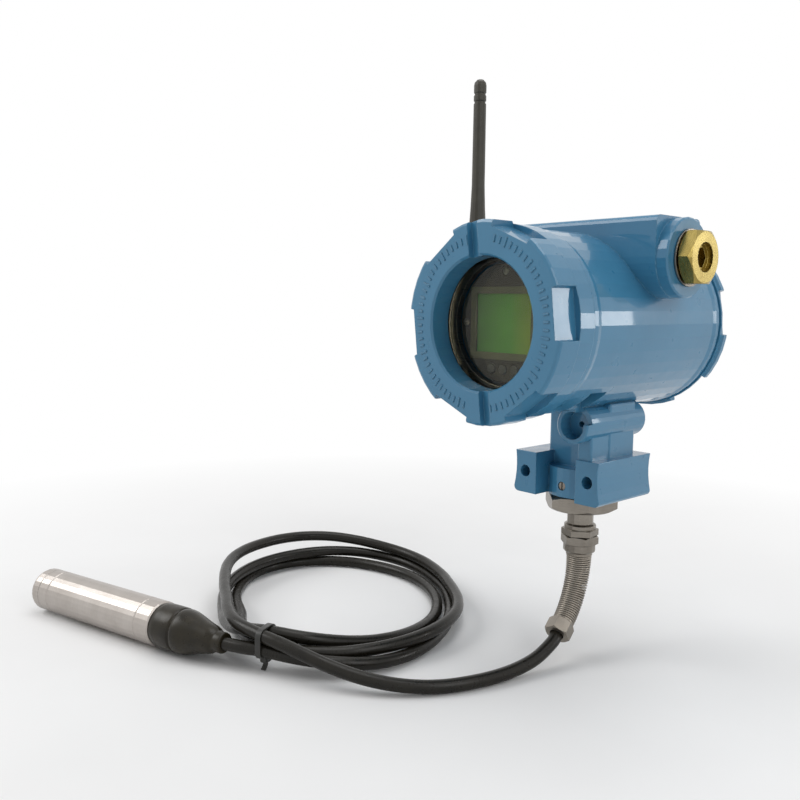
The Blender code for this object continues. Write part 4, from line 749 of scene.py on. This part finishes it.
def moulded(name, dark, light, rough, grain, depth, edge=0.0004, coat=0.0, specular=0.5):
    """Moulded plastic or rubber: slightly uneven colour, fine grain, lighter edges."""
    made = Finish(name, coat=coat, coat_roughness=0.15, specular=specular)
    made.round_edges(edge)
    tint = made.ramp(made.noise(90, 5, 0.65), [(0.32, dark), (0.68, light)])
    # The edges are mixed towards a lighter copy of the colour
    lighter_edge_mask = made.edge_share(edge * 1.5)
    tint = made.mix(made.span(lighter_edge_mask, 0, 0.35, 0, 1), tint, [min(1.0, x * 2.2 + 0.01) for x in light])
    made.bump(made.noise(grain, 3), depth, 0.6)
    return made.done(tint, made.span(made.noise(grain / 4, 4), *rough))


def glass():
    """Thick toughened glass with a brown green body and a few faint smears."""
    made = Finish("window_glass_clear", roughness=0.0)
    made.shader.inputs["Transmission Weight"].default_value = 1.0
    made.shader.inputs["IOR"].default_value = 1.30
    tint = made.ramp(made.noise(40, 3), [(0.3, (0.66, 0.66, 0.56)), (0.7, (0.72, 0.71, 0.61))])
    made.done(tint, made.span(made.noise(90, 4), 0.0, 0.02, 0.55, 0.8))
    clear = made.add("BsdfTransparent")
    clear.inputs["Color"].default_value = (0.72, 0.76, 0.70, 1.0)
    shadow = made.add("LightPath").outputs["Is Shadow Ray"]
    made.choose(shadow, made.shader.outputs[0], clear.outputs[0])
    return made.material


def crystal():
    """Unlit liquid crystal panel: green going amber at one side, with its fine grid of dots."""
    made = Finish("display_green", roughness=0.35, specular=0.3)
    split = made.add("SeparateXYZ")
    made.join(made.place, split.inputs[0])
    across = made.span(split.outputs["X"], 0, 1, -0.020, 0.020)
    tint = made.ramp(across, [
        (0.0, (0.060, 0.230, 0.030)),
        (0.60, (0.100, 0.340, 0.040)),
        (1.0, (0.260, 0.330, 0.035)),
    ])
    tint = made.mix(made.span(made.noise(45, 3), 0.0, 0.3), tint, (0.045, 0.150, 0.025))
    rows = []
    for direction in ("X", "Z"):
        wave = made.add("TexWave")
        wave.bands_direction = direction
        wave.inputs["Scale"].default_value = 320
        made.join(made.place, wave.inputs["Vector"])
        rows.append(wave.outputs["Fac"])
    dots = made.reckon("MINIMUM", *rows)
    tint = made.mix(made.span(dots, 0.14, 0.0, 0.0, 0.35), tint, (0.03, 0.09, 0.02))
    made.bump(dots, 0.000002, 0.2)
    return made.done(tint, made.span(made.noise(200, 3), 0.28, 0.42))


def board():
    """Green solder resist over copper tracks."""
    made = Finish("board_green", roughness=0.4, coat=0.3)
    bricks = made.add("TexBrick")
    bricks.inputs["Scale"].default_value = 260
    bricks.inputs["Mortar Size"].default_value = 0.03
    bricks.inputs["Color1"].default_value = (0.022, 0.095, 0.040, 1.0)
    bricks.inputs["Color2"].default_value = (0.030, 0.120, 0.050, 1.0)
    bricks.inputs["Mortar"].default_value = (0.060, 0.180, 0.070, 1.0)
    made.join(made.place, bricks.inputs["Vector"])
    tint = made.mix(made.span(made.noise(120, 3), 0.0, 0.3), bricks.outputs["Color"], (0.015, 0.07, 0.03))
    made.bump(bricks.outputs["Fac"], 0.00002, 0.4)
    return made.done(tint, made.span(made.noise(300, 3), 0.3, 0.5))


BLUE_ENAMEL = paint()
TURNED_STEEL = machined(
    "turned_steel",
    dark=(0.20, 0.18, 0.155),
    light=(0.31, 0.285, 0.25),
    rough=(0.24, 0.40),
    scale=(60, 60, 2600),
)
GUARD_STEEL = machined(
    "guard_steel",
    dark=(0.22, 0.195, 0.165),
    light=(0.33, 0.30, 0.26),
    rough=(0.32, 0.48),
    scale=(220, 220, 220),
    depth=0.00001,
    edge=0.0001,
)
PROBE_STEEL = machined(
    "probe_ground_steel",
    dark=(0.40, 0.365, 0.335),
    light=(0.48, 0.445, 0.415),
    rough=(0.30, 0.38),
    scale=(2600, 40, 40),
    turn_deg=(0, 0, PROBE_HEADING_DEG),
    depth=0.000002,
)
PLUG_BRASS = machined(
    "plug_brass",
    dark=(0.27, 0.20, 0.055),
    light=(0.42, 0.33, 0.11),
    rough=(0.18, 0.34),
    scale=(900, 160, 160),
)
RUBBER = moulded(
    "seal_rubber",
    dark=(0.010, 0.009, 0.008),
    light=(0.018, 0.016, 0.014),
    rough=(0.5, 0.68),
    grain=1400,
    depth=0.00003,
    edge=0.0003,
    specular=0.25,
)
BOOT_RUBBER = moulded(
    "boot_rubber",
    dark=(0.010, 0.008, 0.004),
    light=(0.022, 0.017, 0.008),
    rough=(0.24, 0.38),
    grain=900,
    depth=0.00002,
    specular=0.28,
)
JACKET = moulded(
    "cable_jacket_black",
    dark=(0.007, 0.006, 0.004),
    light=(0.014, 0.012, 0.008),
    rough=(0.24, 0.36),
    grain=1100,
    depth=0.00001,
    edge=0.0002,
    specular=0.26,
)
WHIP_PLASTIC = moulded(
    "whip_plastic",
    dark=(0.034, 0.030, 0.022),
    light=(0.052, 0.047, 0.035),
    rough=(0.34, 0.48),
    grain=2200,
    depth=0.00002,
    edge=0.0003,
    specular=0.35,
)
DISPLAY_PLASTIC = moulded(
    "display_plastic_brown",
    dark=(0.030, 0.026, 0.016),
    light=(0.040, 0.035, 0.022),
    rough=(0.40, 0.52),
    grain=700,
    depth=0.000002,
    specular=0.2,
)
BUTTON_PLASTIC = moulded(
    "button_plastic_grey",
    dark=(0.030, 0.031, 0.028),
    light=(0.044, 0.045, 0.040),
    rough=(0.30, 0.42),
    grain=1800,
    depth=0.00002,
)
RIM_PLASTIC = moulded(
    "rim_plastic",
    dark=(0.085, 0.090, 0.045),
    light=(0.110, 0.115, 0.060),
    rough=(0.35, 0.5),
    grain=700,
    depth=0.000004,
    edge=0.0003,
    specular=0.3,
)
TIE_PLASTIC = moulded(
    "tie_plastic",
    dark=(0.014, 0.014, 0.012),
    light=(0.024, 0.023, 0.020),
    rough=(0.32, 0.45),
    grain=1200,
    depth=0.00002,
)
SLEEVE = moulded(
    "sleeve_film",
    dark=(0.20, 0.225, 0.24),
    light=(0.27, 0.30, 0.32),
    rough=(0.2, 0.34),
    grain=400,
    depth=0.00002,
    coat=0.3,
)
LENS = moulded(
    "lamp_lens",
    dark=(0.07, 0.08, 0.06),
    light=(0.11, 0.12, 0.09),
    rough=(0.12, 0.24),
    grain=900,
    depth=0.00001,
    edge=0.0002,
    coat=0.6,
)
GLASS = glass()
CRYSTAL = crystal()
BOARD = board()

BY_SLOT = {
    "blue_paint": BLUE_ENAMEL,
    "steel": TURNED_STEEL,
    "probe_steel": PROBE_STEEL,
    "brass": PLUG_BRASS,
    "black_rubber": RUBBER,
    "cable_jacket": JACKET,
    "antenna_plastic": WHIP_PLASTIC,
    "display_plastic": DISPLAY_PLASTIC,
    "button_plastic": BUTTON_PLASTIC,
    "lcd_rim": RIM_PLASTIC,
    "lcd": CRYSTAL,
    "lamp": LENS,
    "window": GLASS,
    "circuit_board": BOARD,
    "tray_plastic": TIE_PLASTIC,
    "battery_sleeve": SLEEVE,
}
BY_NODE = {
    "guard_ferrule": GUARD_STEEL,
    "guard_collar": GUARD_STEEL,
}


def dress_nodes():
    """The part's own nodes: each slot's material by the node's name, or else by the slot's."""
    for name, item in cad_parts.items():
        for slot in item.material_slots:
            base = slot.material.name.split(".")[0]
            slot.material = BY_NODE.get(name, BY_SLOT[base])


dress_nodes()
cable.data.materials.append(JACKET)
guard.data.materials.append(GUARD_STEEL)
boot.data.materials.append(BOOT_RUBBER)
tie.data.materials.append(TIE_PLASTIC)
ticks.data.materials.append(BLUE_ENAMEL)


# Studio: a pale floor, a white background and soft lamps

WHITE = (1.0, 1.0, 1.0, 1.0)
WORLD_LIGHT = 0.38

# The floor lies just under the ground, and is plain white from the far end of its fade on
FLOOR_HALF = 12.0
FLOOR_DROP = 0.0002
FADE_MIDDLE = (-0.08, -0.10)
FLOOR_FADE = (0.20, 0.62)

# Name, place, aim, width, height, watts
LAMPS = (
    ("key", (-0.95, -0.95, 0.95), (-0.05, -0.05, 0.03), 0.8, 0.8, 9.0),
    ("right", (0.85, -0.15, 0.55), (0.0, -0.04, 0.06), 0.35, 0.7, 2.0),
    ("back", (0.80, 0.84, 0.22), (0.0, -0.06, 0.08), 0.30, 0.24, 1.5),
    ("top", (0.05, 0.10, 1.25), (0.0, 0.0, 0.0), 0.9, 0.9, 6.5),
)


def light_shader(tree, kind, strength):
    node = tree.nodes.new("ShaderNode" + kind)
    node.inputs["Color"].default_value = WHITE
    node.inputs["Strength"].default_value = strength
    return node.outputs[0]


def white_for_eye(tree, plain, white):
    """Mix two shaders: white to the eye, in mirrors and through glass, plain to all other rays."""
    rays = tree.nodes.new("ShaderNodeLightPath")
    seen = rays.outputs["Is Camera Ray"]
    for name in ("Is Glossy Ray", "Is Transmission Ray"):
        both = tree.nodes.new("ShaderNodeMath")
        both.operation = "MAXIMUM"
        tree.links.new(seen, both.inputs[0])
        tree.links.new(rays.outputs[name], both.inputs[1])
        seen = both.outputs[0]
    choice = tree.nodes.new("ShaderNodeMixShader")
    tree.links.new(seen, choice.inputs[0])
    tree.links.new(plain, choice.inputs[1])
    tree.links.new(white, choice.inputs[2])
    return choice.outputs[0]


def make_world():
    world = bpy.data.worlds.new("studio")
    world.use_nodes = True
    tree = world.node_tree
    tree.nodes.clear()
    output = tree.nodes.new("ShaderNodeOutputWorld")
    plain = light_shader(tree, "Background", WORLD_LIGHT)
    white = light_shader(tree, "Background", 1.0)
    tree.links.new(white_for_eye(tree, plain, white), output.inputs["Surface"])
    bpy.context.scene.world = world


def floor_white():
    """Near the object a pale floor that takes its shadow, and further off the white of the background."""
    made = Finish("floor_white", roughness=0.6, specular=0.3)
    tint = made.ramp(made.noise(6, 3), [(0.3, (0.86, 0.86, 0.86)), (0.7, (0.90, 0.90, 0.90))])
    made.done(tint, made.span(made.noise(30, 3), 0.55, 0.7))
    near = made.shader.outputs[0]
    far = white_for_eye(made.tree, near, light_shader(made.tree, "Emission", 1.0))
    reach = made.add("VectorMath")
    reach.operation = "DISTANCE"
    reach.inputs[1].default_value = (*FADE_MIDDLE, GROUND_Z)
    made.join(made.place, reach.inputs[0])
    made.choose(made.span(reach.outputs["Value"], 0.0, 1.0, *FLOOR_FADE), near, far)
    return made.material


def make_floor():
    mesh = bmesh.new()
    height = GROUND_Z - FLOOR_DROP
    corners = []
    for x, y in ((-1, -1), (1, -1), (1, 1), (-1, 1)):
        corners.append(mesh.verts.new((x * FLOOR_HALF, y * FLOOR_HALF, height)))
    mesh.faces.new(corners)
    floor = mesh_object("floor", mesh)
    floor.data.materials.append(floor_white())


def make_lamps():
    for name, place, aim, width, height, watts in LAMPS:
        data = bpy.data.lights.new(name, "AREA")
        data.shape = "RECTANGLE"
        data.size = width
        data.size_y = height
        data.energy = watts
        lamp = link(bpy.data.objects.new(name, data))
        lamp.location = place
        lamp.rotation_euler = (Vector(aim) - Vector(place)).to_track_quat("-Z", "Y").to_euler()


make_world()
make_floor()
make_lamps()
bpy.context.scene.view_settings.view_transform = "Standard"

bpy.context.view_layer.update()
